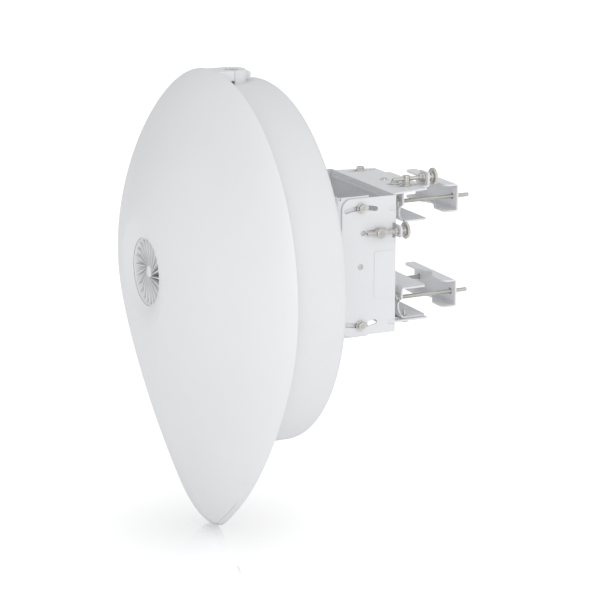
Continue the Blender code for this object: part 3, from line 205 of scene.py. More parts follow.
def moved(shape, matrix):
    bmesh.ops.transform(shape, matrix=matrix, verts=shape.verts)
    return shape


def placed(shape, location, direction="+Z"):
    return moved(shape, Matrix.Translation(location) @ TOWARDS[direction])


def box(low, high):
    shape = bmesh.new()
    bmesh.ops.create_cube(shape, size=1.0)
    centre = (Vector(low) + Vector(high)) / 2
    size = Vector(high) - Vector(low)
    return moved(shape, Matrix.Translation(centre) @ Matrix.Diagonal((*size, 1.0)))


def rod(start, direction, length, radius, sides=36):
    """A cylinder from a start point along an axis such as '+Y'."""
    shape = bmesh.new()
    bmesh.ops.create_cone(shape, cap_ends=True, segments=sides, radius1=radius, radius2=radius,
                          depth=length)
    moved(shape, Matrix.Translation((0, 0, length / 2)))
    return placed(shape, start, direction)


def loft(rings, closed_ends=True, loop=False):
    """Faces between rings of points, all with the same number of points."""
    shape = bmesh.new()
    rows = [[shape.verts.new(point) for point in ring] for ring in rings]
    pairs = list(zip(rows, rows[1:]))
    if loop:
        pairs.append((rows[-1], rows[0]))
    for before, after in pairs:
        for step in range(len(before)):
            following = (step + 1) % len(before)
            shape.faces.new((before[step], before[following], after[following], after[step]))
    if closed_ends and not loop:
        shape.faces.new(rows[0])
        shape.faces.new(rows[-1])
    bmesh.ops.recalc_face_normals(shape, faces=shape.faces)
    return shape


def turned(profile, sides=48):
    """Turn (height, radius) points about +Z; a zero radius closes an end."""
    rings = []
    for height, radius in profile:
        radius = max(radius, 1e-5)
        rings.append([(radius * math.cos(2 * math.pi * step / sides),
                       radius * math.sin(2 * math.pi * step / sides), height)
                      for step in range(sides)])
    return loft(rings)


def hexed(profile, sides=48, loop=False):
    """A loft up +Z of (height, flats, limit): half the width across flats, cut by a circle."""
    rings = []
    for height, flats, limit in profile:
        ring = []
        for step in range(sides):
            angle = 2 * math.pi * step / sides
            reach = limit
            if flats:
                reach = min(limit, flats / math.cos((angle % (math.pi / 3)) - math.pi / 6))
            ring.append((reach * math.cos(angle), reach * math.sin(angle), height))
        rings.append(ring)
    return loft(rings, loop=loop)


def extruded(outlines, low, high, plane):
    """A flat outline, with any holes as further outlines, extruded between two offsets."""
    curve = bpy.data.curves.new("outline", "CURVE")
    curve.dimensions = "2D"
    curve.fill_mode = "BOTH"
    curve.extrude = (high - low) / 2
    for outline in outlines:
        spline = curve.splines.new("POLY")
        spline.points.add(len(outline) - 1)
        for point, (u, v) in zip(spline.points, outline):
            point.co = (u, v, 0, 1)
        spline.use_cyclic_u = True
    holder = bpy.data.objects.new("outline", curve)
    bpy.context.scene.collection.objects.link(holder)
    shape = baked(holder)
    bpy.data.curves.remove(curve)
    bmesh.ops.remove_doubles(shape, verts=shape.verts, dist=1e-6)
    sign = -1 if plane == "XZ" else 1
    moved(shape, AXES[plane] @ Matrix.Translation((0, 0, sign * (low + high) / 2)))
    bmesh.ops.recalc_face_normals(shape, faces=shape.faces)
    return shape


def arc(centre, radius, start, end, steps):
    """Points on an arc, with the angles in degrees."""
    points = []
    for step in range(steps + 1):
        angle = math.radians(start + (end - start) * step / steps)
        points.append((centre[0] + radius * math.cos(angle), centre[1] + radius * math.sin(angle)))
    return points


def circle(centre, radius):
    return arc(centre, radius, 0, 350, 35)


def corner_arc(before, corner, after, radius, steps=8):
    """Points round a corner of an outline."""
    here = Vector(corner)
    back = (Vector(before) - here).normalized()
    ahead = (Vector(after) - here).normalized()
    half = back.angle(ahead) / 2
    centre = here + (back + ahead).normalized() * radius / math.sin(half)
    first = here + back * radius / math.tan(half) - centre
    last = here + ahead * radius / math.tan(half) - centre
    turn = first.angle_signed(last)
    return [centre + Matrix.Rotation(-turn * step / steps, 2) @ first for step in range(steps + 1)]


def rounded(corners):
    """A closed outline from (u, v, corner radius) entries."""
    outline = []
    count = len(corners)
    for index, (u, v, radius) in enumerate(corners):
        if radius <= 0:
            outline.append((u, v))
            continue
        before = corners[index - 1][:2]
        after = corners[(index + 1) % count][:2]
        outline += [tuple(point) for point in corner_arc(before, (u, v), after, radius)]
    return outline


def rectangle(half_u, half_v, radius):
    return rounded([(-half_u, -half_v, radius), (half_u, -half_v, radius),
                    (half_u, half_v, radius), (-half_u, half_v, radius)])


def sheet(path):
    """The outline of bent sheet whose middle follows a path of corners."""
    middle = [Vector(path[0])]
    for before, corner, after in zip(path, path[1:], path[2:]):
        middle += corner_arc(before, corner, after, BEND)
    middle.append(Vector(path[-1]))
    left = []
    right = []
    for index, point in enumerate(middle):
        before = (point - middle[index - 1]).normalized() if index else None
        after = (middle[index + 1] - point).normalized() if index + 1 < len(middle) else before
        before = before or after
        along = (before + after).normalized()
        across = Vector((-along.y, along.x)) * SHEET / 2 / max(along.dot(after), 0.2)
        left.append(tuple(point + across))
        right.append(tuple(point - across))
    return left + right[::-1]


def slot(start, end, radius, steps=10):
    """A straight slot's outline, between the centres of its round ends."""
    along = Vector(end) - Vector(start)
    angle = math.degrees(math.atan2(along.y, along.x))
    return (arc(end, radius, angle - 90, angle + 90, steps)
            + arc(start, radius, angle + 90, angle + 270, steps))


def arc_slot(centre, path_r, middle, half, radius, steps=14):
    """A slot's outline along an arc; angles in degrees."""
    outline = arc(centre, path_r + radius, middle - half, middle + half, steps)
    for angle, turn in ((middle + half, 0), (middle - half, 180)):
        end = arc(centre, path_r, angle, angle, 1)[0]
        outline += arc(end, radius, angle + turn, angle + turn + 180, 10)[1:-1]
        if turn == 0:
            outline += arc(centre, path_r - radius, middle + half, middle - half, steps)
    return outline


# ---------------------------------------------------------------- pieces
def finish(piece, material, body, bevel, angle):
    """Shade a piece, round its edges, and give it its material, slot and body."""
    piece.data.shade_smooth()
    piece.data.set_sharp_from_angle(angle=math.radians(angle))
    piece.data.materials.append(MATERIALS[material])
    if bevel:
        rounding = piece.modifiers.new("edges", "BEVEL")
        rounding.width = bevel
        rounding.segments = 2
        rounding.limit_method = "ANGLE"
        rounding.angle_limit = math.radians(angle)
        even = piece.modifiers.new("flat_faces", "WEIGHTED_NORMAL")
        even.weight = 100
        even.keep_sharp = True
    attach(piece, body)


def add_piece(name, shape, material, body, nodes, bevel=0.0, angle=24):
    """Add a finished piece; nodes are the CAD nodes that it stands for."""
    piece = new_object(name, shape)
    finish(piece, material, body, bevel, angle)
    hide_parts(*nodes)


def add_copies(name, shape, material, body, places, stand_in=True, angle=24):
    """Numbered pieces that share a mesh; a place is a location and the way +Z turns.

    With stand_in, each stands for the CAD node of the same number.
    """
    mesh = None
    for number, (location, direction) in enumerate(places, 1):
        if mesh is None:
            piece = new_object(f"{name}_{number}_fine", shape)
            mesh = piece.data
            piece.matrix_world = Matrix.Translation(location) @ TOWARDS[direction]
            finish(piece, material, body, 0.0, angle)
        else:
            piece = bpy.data.objects.new(f"{name}_{number}_fine", mesh)
            bpy.context.scene.collection.objects.link(piece)
            piece.matrix_world = Matrix.Translation(location) @ TOWARDS[direction]
            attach(piece, body)
        if stand_in:
            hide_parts(f"{name}_{number}")


# ---------------------------------------------------------------- materials
def material_nodes(name, colour, roughness, metallic=0.0):
    """A Principled material with constants on its sockets, ready for its procedural parts."""
    material = bpy.data.materials.new(name)
    material.use_nodes = True
    tree = material.node_tree
    shader = tree.nodes["Principled BSDF"]
    shader.inputs["Base Color"].default_value = (*colour, 1.0)
    shader.inputs["Roughness"].default_value = roughness
    shader.inputs["Metallic"].default_value = metallic
    return material, tree, shader


def add_node(tree, kind, **values):
    node = tree.nodes.new(kind)
    for key, value in values.items():
        if key in node.inputs:
            node.inputs[key].default_value = value
        else:
            setattr(node, key, value)
    return node


def grain(tree, scale, detail=3.0, stretch=(1.0, 1.0, 1.0)):
    """Noise in object space; the scale is in features per metre."""
    place = add_node(tree, "ShaderNodeTexCoord")
    spread = add_node(tree, "ShaderNodeMapping")
    spread.inputs["Scale"].default_value = stretch
    noise = add_node(tree, "ShaderNodeTexNoise", Scale=scale, Detail=detail)
    tree.links.new(place.outputs["Object"], spread.inputs["Vector"])
    tree.links.new(spread.outputs["Vector"], noise.inputs["Vector"])
    return noise.outputs["Fac"]


def ramp(tree, value, low, high, start=0.3, end=0.7):
    """Map a value onto a range of numbers."""
    node = add_node(tree, "ShaderNodeMapRange")
    node.inputs["From Min"].default_value = start
    node.inputs["From Max"].default_value = end
    node.inputs["To Min"].default_value = low
    node.inputs["To Max"].default_value = high
    tree.links.new(value, node.inputs["Value"])
    return node.outputs["Result"]


def tinted(tree, value, first, second, start=0.3, end=0.7):
    """Map a value onto a range of colours."""
    node = add_node(tree, "ShaderNodeValToRGB")
    node.color_ramp.elements[0].position = start
    node.color_ramp.elements[0].color = (*first, 1.0)
    node.color_ramp.elements[1].position = end
    node.color_ramp.elements[1].color = (*second, 1.0)
    tree.links.new(value, node.inputs["Fac"])
    return node.outputs["Color"]


def mixed(tree, share, first, second):
    node = add_node(tree, "ShaderNodeMix", data_type="RGBA")
    tree.links.new(share, node.inputs[0])
    tree.links.new(first, node.inputs[6])
    if isinstance(second, tuple):
        node.inputs[7].default_value = (*second, 1.0)
    else:
        tree.links.new(second, node.inputs[7])
    return node.outputs[2]


def bumped(tree, shader, layers):
    """Chain bump layers of (height, strength, distance) into the shader's normal."""
    normal = None
    for height, strength, distance in layers:
        node = add_node(tree, "ShaderNodeBump", Strength=strength, Distance=distance)
        tree.links.new(height, node.inputs["Height"])
        if normal:
            tree.links.new(normal, node.inputs["Normal"])
        normal = node.outputs["Normal"]
    tree.links.new(normal, shader.inputs["Normal"])


def crevice(tree, reach):
    """How open a point is: 0 in a tight corner and 1 in the open."""
    node = add_node(tree, "ShaderNodeAmbientOcclusion", Distance=reach, samples=8)
    return node.outputs["AO"]


def painted_corner_shade(tree, colour, reach, depth):
    """Darken a colour with painted shade in corners, seams and beside neighbouring parts."""
    dark = add_node(tree, "ShaderNodeMix", data_type="RGBA", blend_type="MULTIPLY")
    dark.inputs[0].default_value = 1.0
    tree.links.new(colour, dark.inputs[6])
    tree.links.new(tinted(tree, crevice(tree, reach), (depth, depth, depth * 1.01), (1.0, 1.0, 1.0),
                          0.25, 0.95), dark.inputs[7])
    return dark.outputs[2]


def edge_share(tree, reach=0.0006):
    """How much a point lies on an outward edge, from how near the other sides are."""
    near = add_node(tree, "ShaderNodeAmbientOcclusion", inside=True, samples=4, Distance=reach)
    return ramp(tree, near.outputs["AO"], 1.0, 0.0, 0.45, 0.95)


def rough(tree, shader, value, low, high):
    """Vary the roughness with a value."""
    tree.links.new(ramp(tree, value, low, high), shader.inputs["Roughness"])


def scaled(colour, factor):
    return tuple(channel * factor for channel in colour)


def moulded_plastic(name, colour, roughness, texture=0.22):
    """Weatherproof moulded plastic with a fine spark-eroded texture."""
    material, tree, shader = material_nodes(name, colour, roughness)
    shader.inputs["Specular IOR Level"].default_value = 0.45
    body = tinted(tree, grain(tree, 7.0, 2.0), scaled(colour, 0.985), scaled(colour, 1.01))
    dust = grain(tree, 38.0, 6.0)
    dusty = mixed(tree, ramp(tree, dust, 0.0, 0.10, 0.55, 0.85), body, scaled(colour, 0.90))
    # painted shade: the colour is darker in corners, seams and beside neighbouring parts
    tree.links.new(painted_corner_shade(tree, dusty, 0.014, 0.80), shader.inputs["Base Color"])
    rough(tree, shader, grain(tree, 60.0, 4.0), roughness - 0.05, roughness + 0.06)
    bumped(tree, shader, [(grain(tree, 900.0, 2.0), texture, 0.00012),
                          (grain(tree, 14.0, 1.0), 0.06, 0.0008)])
    return material


def powder_coat(name, colour, roughness, peel=0.35):
    """Sprayed powder coat: orange peel, fine specks and rubbed edges."""
    material, tree, shader = material_nodes(name, colour, roughness)
    shader.inputs["Specular IOR Level"].default_value = 0.5
    shader.inputs["Coat Weight"].default_value = 0.08
    shader.inputs["Coat Roughness"].default_value = 0.25
    body = tinted(tree, grain(tree, 11.0, 3.0), scaled(colour, 0.975), scaled(colour, 1.01))
    specks = mixed(tree, ramp(tree, grain(tree, 1400.0, 1.0), 0.0, 0.25, 0.66, 0.74), body,
                   scaled(colour, 0.70))
    worn = mixed(tree, edge_share(tree), specks, scaled(colour, 1.06))
    # painted shade: the colour is darker in corners, seams and beside neighbouring parts
    tree.links.new(painted_corner_shade(tree, worn, 0.007, 0.76), shader.inputs["Base Color"])
    rough(tree, shader, grain(tree, 45.0, 5.0), roughness - 0.07, roughness + 0.09)
    bumped(tree, shader, [(grain(tree, 480.0, 2.0), peel, 0.00014),
                          (grain(tree, 2200.0, 1.0), 0.10, 0.00004)])
    return material


def metal(name, colour, roughness, stretch=(1.0, 1.0, 1.0), lines=0.25):
    """Bare metal with tool marks along an axis, handling stains and a painted highlight along its edges.
    """
    material, tree, shader = material_nodes(name, colour, roughness, 1.0)
    body = tinted(tree, grain(tree, 90.0, 5.0), scaled(colour, 0.80), scaled(colour, 1.08))
    # painted highlight: the edges are lighter in colour, standing in for the glint on bevels
    tree.links.new(mixed(tree, edge_share(tree, 0.0015), body, scaled(colour, 1.45)),
                   shader.inputs["Base Color"])
    marks = grain(tree, 700.0, 3.0, stretch)
    rough(tree, shader, marks, roughness - 0.10, roughness + 0.12)
    bumped(tree, shader, [(marks, lines, 0.00005), (grain(tree, 160.0, 4.0), 0.12, 0.00010)])
    return material


def cast_metal(name, colour, roughness):
    """A sand-blasted and painted casting."""
    material, tree, shader = material_nodes(name, colour, roughness)
    body = tinted(tree, grain(tree, 25.0, 5.0), scaled(colour, 0.93), scaled(colour, 1.03))
    tree.links.new(mixed(tree, edge_share(tree), body, scaled(colour, 1.10)),
                   shader.inputs["Base Color"])
    rough(tree, shader, grain(tree, 120.0, 4.0), roughness - 0.08, roughness + 0.10)
    pits = add_node(tree, "ShaderNodeTexVoronoi", Scale=650.0)
    place = add_node(tree, "ShaderNodeTexCoord")
    tree.links.new(place.outputs["Object"], pits.inputs["Vector"])
    bumped(tree, shader, [(pits.outputs["Distance"], 0.25, 0.00015),
                          (grain(tree, 90.0, 3.0), 0.15, 0.0003)])
    return material


def soft_polymer(name, colour, roughness, scale=700.0):
    """Rubber, nylon and cable jackets: matt, with a fine skin and a little bloom."""
    material, tree, shader = material_nodes(name, colour, roughness)
    body = tinted(tree, grain(tree, 130.0, 5.0), colour, scaled(colour, 1.9), 0.45, 0.85)
    tree.links.new(mixed(tree, edge_share(tree), body, scaled(colour, 2.4)),
                   shader.inputs["Base Color"])
    rough(tree, shader, grain(tree, 220.0, 3.0), roughness - 0.10, roughness + 0.10)
    bumped(tree, shader, [(grain(tree, scale, 3.0), 0.30, 0.00010)])
    return material


def board_laminate(name, colour, roughness):
    """Solder mask over woven glass, with copper areas that show as lighter green."""
    material, tree, shader = material_nodes(name, colour, roughness)
    shader.inputs["Coat Weight"].default_value = 0.35
    shader.inputs["Coat Roughness"].default_value = 0.18
    weave = add_node(tree, "ShaderNodeTexBrick", Scale=520.0)
    place = add_node(tree, "ShaderNodeTexCoord")
    tree.links.new(place.outputs["Object"], weave.inputs["Vector"])
    tracks = add_node(tree, "ShaderNodeTexVoronoi", Scale=170.0, distance="MANHATTAN")
    tree.links.new(place.outputs["Object"], tracks.inputs["Vector"])
    copper = ramp(tree, tracks.outputs["Distance"], 0.0, 1.0, 0.40, 0.46)
    body = tinted(tree, grain(tree, 60.0, 3.0), scaled(colour, 0.85), scaled(colour, 1.1))
    tree.links.new(mixed(tree, copper, body, scaled(colour, 2.1)), shader.inputs["Base Color"])
    rough(tree, shader, grain(tree, 300.0, 2.0), roughness - 0.08, roughness + 0.08)
    bumped(tree, shader, [(weave.outputs["Fac"], 0.08, 0.00003), (copper, 0.20, 0.00004)])
    return material


def make_materials():
    """One material for each slot of the record."""
    lathe = (1.0, 1.0, 6.0)
    return {
        "cover": moulded_plastic("cover_plastic", (0.80, 0.805, 0.815), 0.42),
        "housing": moulded_plastic("housing_plastic", (0.77, 0.775, 0.785), 0.46, 0.30),
        "heat_sink": powder_coat("heat_sink_paint", (0.80, 0.805, 0.815), 0.42, 0.2),
        "bracket_paint": powder_coat("bracket_paint", (0.79, 0.795, 0.81), 0.42),
        "cast_aluminium": cast_metal("cast_aluminium", (0.72, 0.725, 0.735), 0.55),
        "stainless": metal("stainless", (0.62, 0.605, 0.575), 0.20, lathe),
        "zinc_rod": metal("zinc_rod", (0.55, 0.54, 0.51), 0.32, lathe, 0.35),
        "bare_aluminium": metal("bare_aluminium", (0.74, 0.745, 0.75), 0.36, (6.0, 1.0, 1.0)),
        "tin_plate": metal("tin_plate", (0.66, 0.66, 0.65), 0.30),
        "white_plastic": moulded_plastic("white_plastic", (0.80, 0.80, 0.78), 0.45),
        "black_plastic": soft_polymer("black_nylon", (0.028, 0.028, 0.030), 0.50),
        "rubber": soft_polymer("rubber", (0.030, 0.030, 0.031), 0.72, 1100.0),
        "circuit_board": board_laminate("circuit_board", (0.018, 0.115, 0.050), 0.40),
        "cable_jacket": soft_polymer("cable_jacket", (0.032, 0.032, 0.034), 0.55),
    }


def dress_carried_nodes():
    """Give the sealed inner pieces, whose CAD shape is right, their procedural materials."""
    finishes = {
        "rubber": ["rim_gasket", "nose_gasket"],
        "bare_aluminium": ["radio_housing", "feed_horn", "reflector"],
        "circuit_board": ["radio_board", "port_board"],
        "tin_plate": ["rf_shield", "network_jack_1", "network_jack_2"],
        "white_plastic": ["feed_window", "reflector_hub"],
        "cable_jacket": ["inner_cable"],
    }
    for material, names in finishes.items():
        for name in names:
            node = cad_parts[name]
            node.data.materials.clear()
            node.data.materials.append(MATERIALS[material])


# ---------------------------------------------------------------- fasteners
def thread_radius(height, angle, length):
    """Radius of a right-hand M6 thread, chamfered at both ends."""
    turn = (height / PITCH - angle / (2 * math.pi)) % 1.0
    depth = 0.00052 * abs(2 * turn - 1)
    taper = min(height, length - height)
    return min(THREAD_R - depth, THREAD_R - 0.0009 + taper)


def threaded(length):
    """A threaded bar up +Z, with four rows of points to a turn."""
    sides = 20
    count = round(4 * length / PITCH)
    rings = []
    for row in range(count + 1):
        height = length * row / count
        ring = []
        for step in range(sides):
            angle = 2 * math.pi * step / sides
            radius = thread_radius(height, angle, length)
            ring.append((radius * math.cos(angle), radius * math.sin(angle), height))
        rings.append(ring)
    return loft(rings)


def bolt(shank, head):
    """A flange screw: its head stands on z = 0 and its thread runs down."""
    flats = HALF_FLATS
    profile = [(0, 0, THREAD_R), (0, 0, FLANGE_R - 0.0002), (0.0002, 0, FLANGE_R),
               (0.0008, 0, FLANGE_R), (0.0010, 0, FLANGE_R - 0.0002), (head * 0.36, flats, 0.0062),
               (head * 0.44, flats, 0.0058), (head - 0.0006, flats, 0.0058),
               (head - 0.0002, flats, 0.0053), (head, flats, 0.0049), (head - 0.0003, 0, 0.0034),
               (head - 0.0003, 0, 0.0002)]
    return merged(hexed(profile), placed(threaded(shank - 0.0001), (0, 0, -shank)))


def nut(height, flange=0.0):
    """A hexagon nut that stands on z = 0, with an optional flange."""
    flats = HALF_FLATS
    chamfer = NUT_BORE_R + 0.0004
    if flange:
        profile = [(0, 0, chamfer), (0, 0, flange - 0.0002), (0.0002, 0, flange),
                   (0.0009, 0, flange), (height * 0.36, flats, 0.0061), (height * 0.44, flats, 0.0058)]
    else:
        profile = [(0, 0, chamfer), (0, flats, 0.0050), (0.0005, flats, 0.0058)]
    profile += [(height - 0.0006, flats, 0.0058), (height - 0.0001, flats, 0.0051),
                (height, 0, chamfer), (height - 0.0004, 0, NUT_BORE_R), (0.0004, 0, NUT_BORE_R)]
    return hexed(profile, loop=True)


def pan_screw(radius, height):
    """A domed screw head with a six-lobed drive, standing on z = 0."""
    dome = [(0, 0.0), (0, radius), (height * 0.35, radius)]
    for step in range(1, 7):
        angle = math.pi / 2 * step / 6
        dome.append((height * (0.35 + 0.65 * math.sin(angle)),
                     radius * (0.28 + 0.72 * math.cos(angle))))
    dome.append((height, 0.0))
    head = turned(dome, 36)
    sides = 36
    reach = [radius * (0.40 + 0.07 * math.cos(6 * 2 * math.pi * step / sides))
             for step in range(sides)]
    rings = [[(r * math.cos(2 * math.pi * step / sides), r * math.sin(2 * math.pi * step / sides), z)
              for step, r in enumerate(reach)] for z in (height - 0.0009, height + 0.001)]
    return combined(head, ("DIFFERENCE", loft(rings)))


def thumbscrew(thread, neck):
    """A threaded shank, a turned neck and a knurled wheel, from the tip at z = 0."""
    wheel = thread + neck
    collar = turned([(thread - 0.0002, 0), (thread - 0.0002, 0.0046), (thread, 0.0050),
                     (thread + 0.0012, 0.0050), (thread + 0.0015, 0.0047), (wheel - 0.0006, 0.0047),
                     (wheel, 0.0052), (wheel + 0.0002, 0)])
    teeth = 48
    sides = teeth * 4
    rings = []
    levels = [(0, 0.0002, 0), (0, 0.0100, 0), (0.0003, 0.0112, 0), (0.0010, 0.0119, 1),
              (0.0038, 0.0119, 1), (0.0045, 0.0112, 0), (0.0048, 0.0100, 0), (0.0048, 0.0085, 0),
              (0.0042, 0.0078, 0), (0.0042, 0.0002, 0)]
    for height, radius, knurled in levels:
        ring = []
        for step in range(sides):
            angle = 2 * math.pi * step / sides
            reach = radius + knurled * 0.0002 * math.cos(teeth * angle)
            ring.append((reach * math.cos(angle), reach * math.sin(angle), wheel + height))
        rings.append(ring)
    return merged(threaded(thread), collar, loft(rings))


# ---------------------------------------------------------------- cover and housing
def rim_radius(angle):
    """Distance from the dish axis to the rim; the angle is 0 at the top."""
    drop = TIP_DEPTH - TIP_R
    height = ((FLANK_R - TIP_R) ** 2 - (FLANK_R - RIM_R) ** 2 - drop ** 2) / (2 * drop)
    side = math.sqrt((FLANK_R - RIM_R) ** 2 - height ** 2)
    across = abs(math.sin(angle))
    up = math.cos(angle)
    if math.atan2(across, up) < math.atan2(side, -height):
        return RIM_R
    reach = FLANK_R - TIP_R
    touch = (side / reach * TIP_R, -drop - (height + drop) / reach * TIP_R)
    if math.atan2(across, up) < math.atan2(touch[0], touch[1]):
        slope = -side * across + height * up
        return slope + math.sqrt(slope ** 2 - side ** 2 - height ** 2 + FLANK_R ** 2)
    slope = -drop * up
    return slope + math.sqrt(slope ** 2 - drop ** 2 + TIP_R ** 2)


def rim_angles():
    """Angles round the rim, closer together towards the tip."""
    half = [math.radians(start + gap * step)
            for start, gap, count in ((0, 2.0, 54), (108, 1.3, 50), (173, 0.5, 14))
            for step in range(count)]
    return half + [math.pi] + [2 * math.pi - angle for angle in half[:0:-1]]


ANGLES = rim_angles()


def ring_at(radii, y, drop=0.0):
    return [(r * math.sin(a), y, r * math.cos(a) + drop) for r, a in zip(radii, ANGLES)]


def rim_ring(inset, y):
    return ring_at([rim_radius(angle) - inset for angle in ANGLES], y)


def round_ring(radius, y, drop=0.0):
    return ring_at([radius] * len(ANGLES), y, drop)


def bell_powers(angle):
    low = (1 - math.cos(angle)) / 2
    return 1.3 - 0.29 * low, 1.32 + 0.56 * low


def bell_point(angle, reach):
    """A point of the bell-shaped cover; reach runs from 0 at the nose to 1 at the rim."""
    flat, full = bell_powers(angle)
    depth = max(0.0, 1 - reach ** flat) ** (1 / full)
    radius = NOSE_R + (rim_radius(angle) - NOSE_R) * reach
    drop = NOSE_DROP * (1 - reach)
    return (radius * math.sin(angle), RIM_Y + (NOSE_Y - RIM_Y) * depth,
            radius * math.cos(angle) + drop)


def bell_radius(angle, y):
    """Distance from the axis to the cover's surface in a plane across the axis."""
    flat, full = bell_powers(angle)
    depth = (y - RIM_Y) / (NOSE_Y - RIM_Y)
    reach = (1 - depth ** full) ** (1 / flat)
    return NOSE_R + (rim_radius(angle) - NOSE_R) * reach


def crater_rings():
    """From the hole for the heat sink up the dished wall and over the soft nose ring."""
    rings = []
    start = Vector((CRATER_FLOOR_R, CRATER_FLOOR_Y))
    knee = Vector((CRATER_R - 0.0016, NOSE_Y + 0.0003))
    end = Vector((NOSE_R - 0.0006, NOSE_Y + 0.00002))
    for step in range(5):
        point = start.lerp(knee, 0.70 * step / 4)
        rings.append((point.x, point.y))
    before = start.lerp(knee, 0.70)
    for step in range(1, 9):
        share = step / 8
        point = before.lerp(knee, share).lerp(knee.lerp(end, share), share)
        rings.append((point.x, point.y))
    return [round_ring(radius, y, NOSE_DROP * max(0.0, (radius - CRATER_R) / (NOSE_R - CRATER_R)))
            for radius, y in rings]


def shell(rings, wall, fill_last=False):
    """A skin through rings of points, thickened inwards."""
    shape = loft(rings, closed_ends=False)
    if fill_last:
        shape.verts.ensure_lookup_table()
        shape.faces.new(shape.verts[-len(ANGLES):])
    bmesh.ops.recalc_face_normals(shape, faces=shape.faces)
    shape.faces.ensure_lookup_table()
    outer = max(shape.faces, key=lambda face: abs(face.normal.y) * face.calc_area())
    outward = -1 if not fill_last else 1
    if outer.normal.y * outward < 0:
        bmesh.ops.reverse_faces(shape, faces=shape.faces)
    item = new_object("shell", shape)
    solid = item.modifiers.new("wall", "SOLIDIFY")
    solid.thickness = wall
    solid.offset = -1
    return baked(item)


def rim_screws():
    """Angles of the ten screws that hold the cover, in degrees from the top."""
    return [side * angle for angle in (18, 58, 98, 138, 163) for side in (1, -1)]


def rim_screw_point(angle, y):
    radius = rim_radius(math.radians(angle)) - 0.0105
    return (radius * math.sin(math.radians(angle)), y, radius * math.cos(math.radians(angle)))


def eye_hole(low):
    """The tool for the eye's hole, with a soft upper edge."""
    edge = EYE_HOLE_R + 0.0012
    profile = [(low - 0.004, 0), (low - 0.004, EYE_HOLE_R), (EYE_TOP - 0.0012, EYE_HOLE_R),
               (EYE_TOP - 0.0004, EYE_HOLE_R + 0.0004), (EYE_TOP, edge), (EYE_TOP + 0.002, edge + 0.002),
               (EYE_TOP + 0.002, 0)]
    return placed(turned(profile, 72), (0, EYE_Y, 0))


def eye_half(rear):
    """Half of the hoisting eye: a round boss at the rear, drawn out to the rim in front."""
    low = 0.2535 if rear else 0.2583
    soft = 0.0014
    profile = [(low, 0), (low, EYE_R), (EYE_TOP - soft, EYE_R)]
    profile += [(EYE_TOP + height, EYE_R + out)
                for out, height in arc((-soft, -soft), soft, 15, 90, 5)] + [(EYE_TOP, 0)]
    boss = placed(turned(profile, 96), (0, EYE_Y, 0))
    if rear:
        half = box((-0.03, EYE_SPLIT_Y + 0.0006, 0.24), (0.03, EYE_Y + 0.03, 0.29))
        return combined(boss, ("INTERSECT", half), ("DIFFERENCE", eye_hole(low)))
    outline = rounded([(-EYE_R, low, 0), (EYE_R, low, 0), (EYE_R, EYE_TOP, soft),
                       (-EYE_R, EYE_TOP, soft)])
    half = box((-0.03, RIM_Y - 0.03, 0.24), (0.03, EYE_SPLIT_Y, 0.29))
    return combined(boss, ("UNION", extruded([outline], RIM_Y - 0.0018, EYE_Y, "XZ")),
                    ("INTERSECT", half), ("DIFFERENCE", eye_hole(low)))


def groove_bar(y, width, depth, start, end):
    """A thin curved bar that cuts a groove along the cover's skirt between two angles."""
    rings = []
    steps = 40
    for step in range(steps + 1):
        angle = math.radians(start + (end - start) * step / steps)
        fade = min(1.0, 6 * min(step, steps - step) / steps)
        ring = []
        for side, out in ((-1, 0), (1, 0), (1, 1), (-1, 1)):
            here = y + side * width / 2
            radius = bell_radius(angle, here) + (0.002 if out else -depth * fade + 0.0002 * (1 - fade))
            ring.append((radius * math.sin(angle), here, radius * math.cos(angle)))
        rings.append(ring)
    return loft(rings)


def make_front_cover():
    rings = crater_rings()
    steps = 60
    for step in range(steps + 1):
        share = step / steps
        reach = 1 - (1 - share) ** 2
        rings.append([bell_point(angle, reach) for angle in ANGLES])
    cover = shell(rings, COVER_WALL)
    groove = groove_bar(RIM_Y - 0.0095, 0.0008, 0.0006, 160, 197)
    cover = combined(cover, ("UNION", eye_half(False)), ("DIFFERENCE", groove), flat=False)
    add_piece("front_cover_shell", cover, "cover", "dish", ["front_cover"])


def make_rear_housing():
    edge = DRUM_EDGE_R
    fillet = 0.0030
    rings = [rim_ring(FLANGE_INSET, FLANGE_Y), round_ring(DRUM_R + 0.0036, FLANGE_Y)]
    for step in range(5):
        turn = math.pi / 2 * step / 4
        rings.append(round_ring(DRUM_R + fillet * (1 - math.sin(turn)),
                                FLANGE_Y + fillet * (1 - math.cos(turn))))
    start = RIM_Y + 0.004
    rings += [round_ring(DRUM_R, start + (DRUM_BACK_Y - edge - start) * step / 5) for step in range(5)]
    for step in range(11):
        turn = math.pi / 2 * step / 10
        rings.append(round_ring(DRUM_R - edge + edge * math.cos(turn),
                                DRUM_BACK_Y - edge + edge * math.sin(turn)))
    rings += [round_ring(radius, DRUM_BACK_Y) for radius in (0.18, 0.11)]
    housing = shell(rings, HOUSING_WALL, fill_last=True)
    end = EYE_Y + EYE_R + 0.0068
    nub = rounded([(EYE_Y + 0.010, 0.2590, 0), (end, 0.2590, 0.0030), (end, 0.2680, 0.0030),
                   (EYE_Y + 0.010, 0.2680, 0)])
    notch = box((-0.0218, RIM_Y - 0.006, 0.2579), (0.0218, RIM_Y + 0.0008, 0.28))
    window = rounded([(-0.036, -0.334, 0.004), (0.036, -0.334, 0.004), (0.036, -0.276, 0.004),
                      (-0.036, -0.276, 0.004)])
    housing = combined(housing, ("UNION", eye_half(True)),
                       ("UNION", extruded([nub], -0.0045, 0.0045, "YZ")),
                       ("DIFFERENCE", notch),
                       ("DIFFERENCE", extruded([window], RIM_Y - 0.007, RIM_Y + 0.003, "XZ")),
                       flat=False)
    add_piece("rear_housing_shell", housing, "housing", "dish", ["rear_housing"])
    add_copies("cover_screw", pan_screw(0.0036, 0.0022), "stainless", "dish",
               [(rim_screw_point(angle, FLANGE_Y), "+Y") for angle in rim_screws()], False)


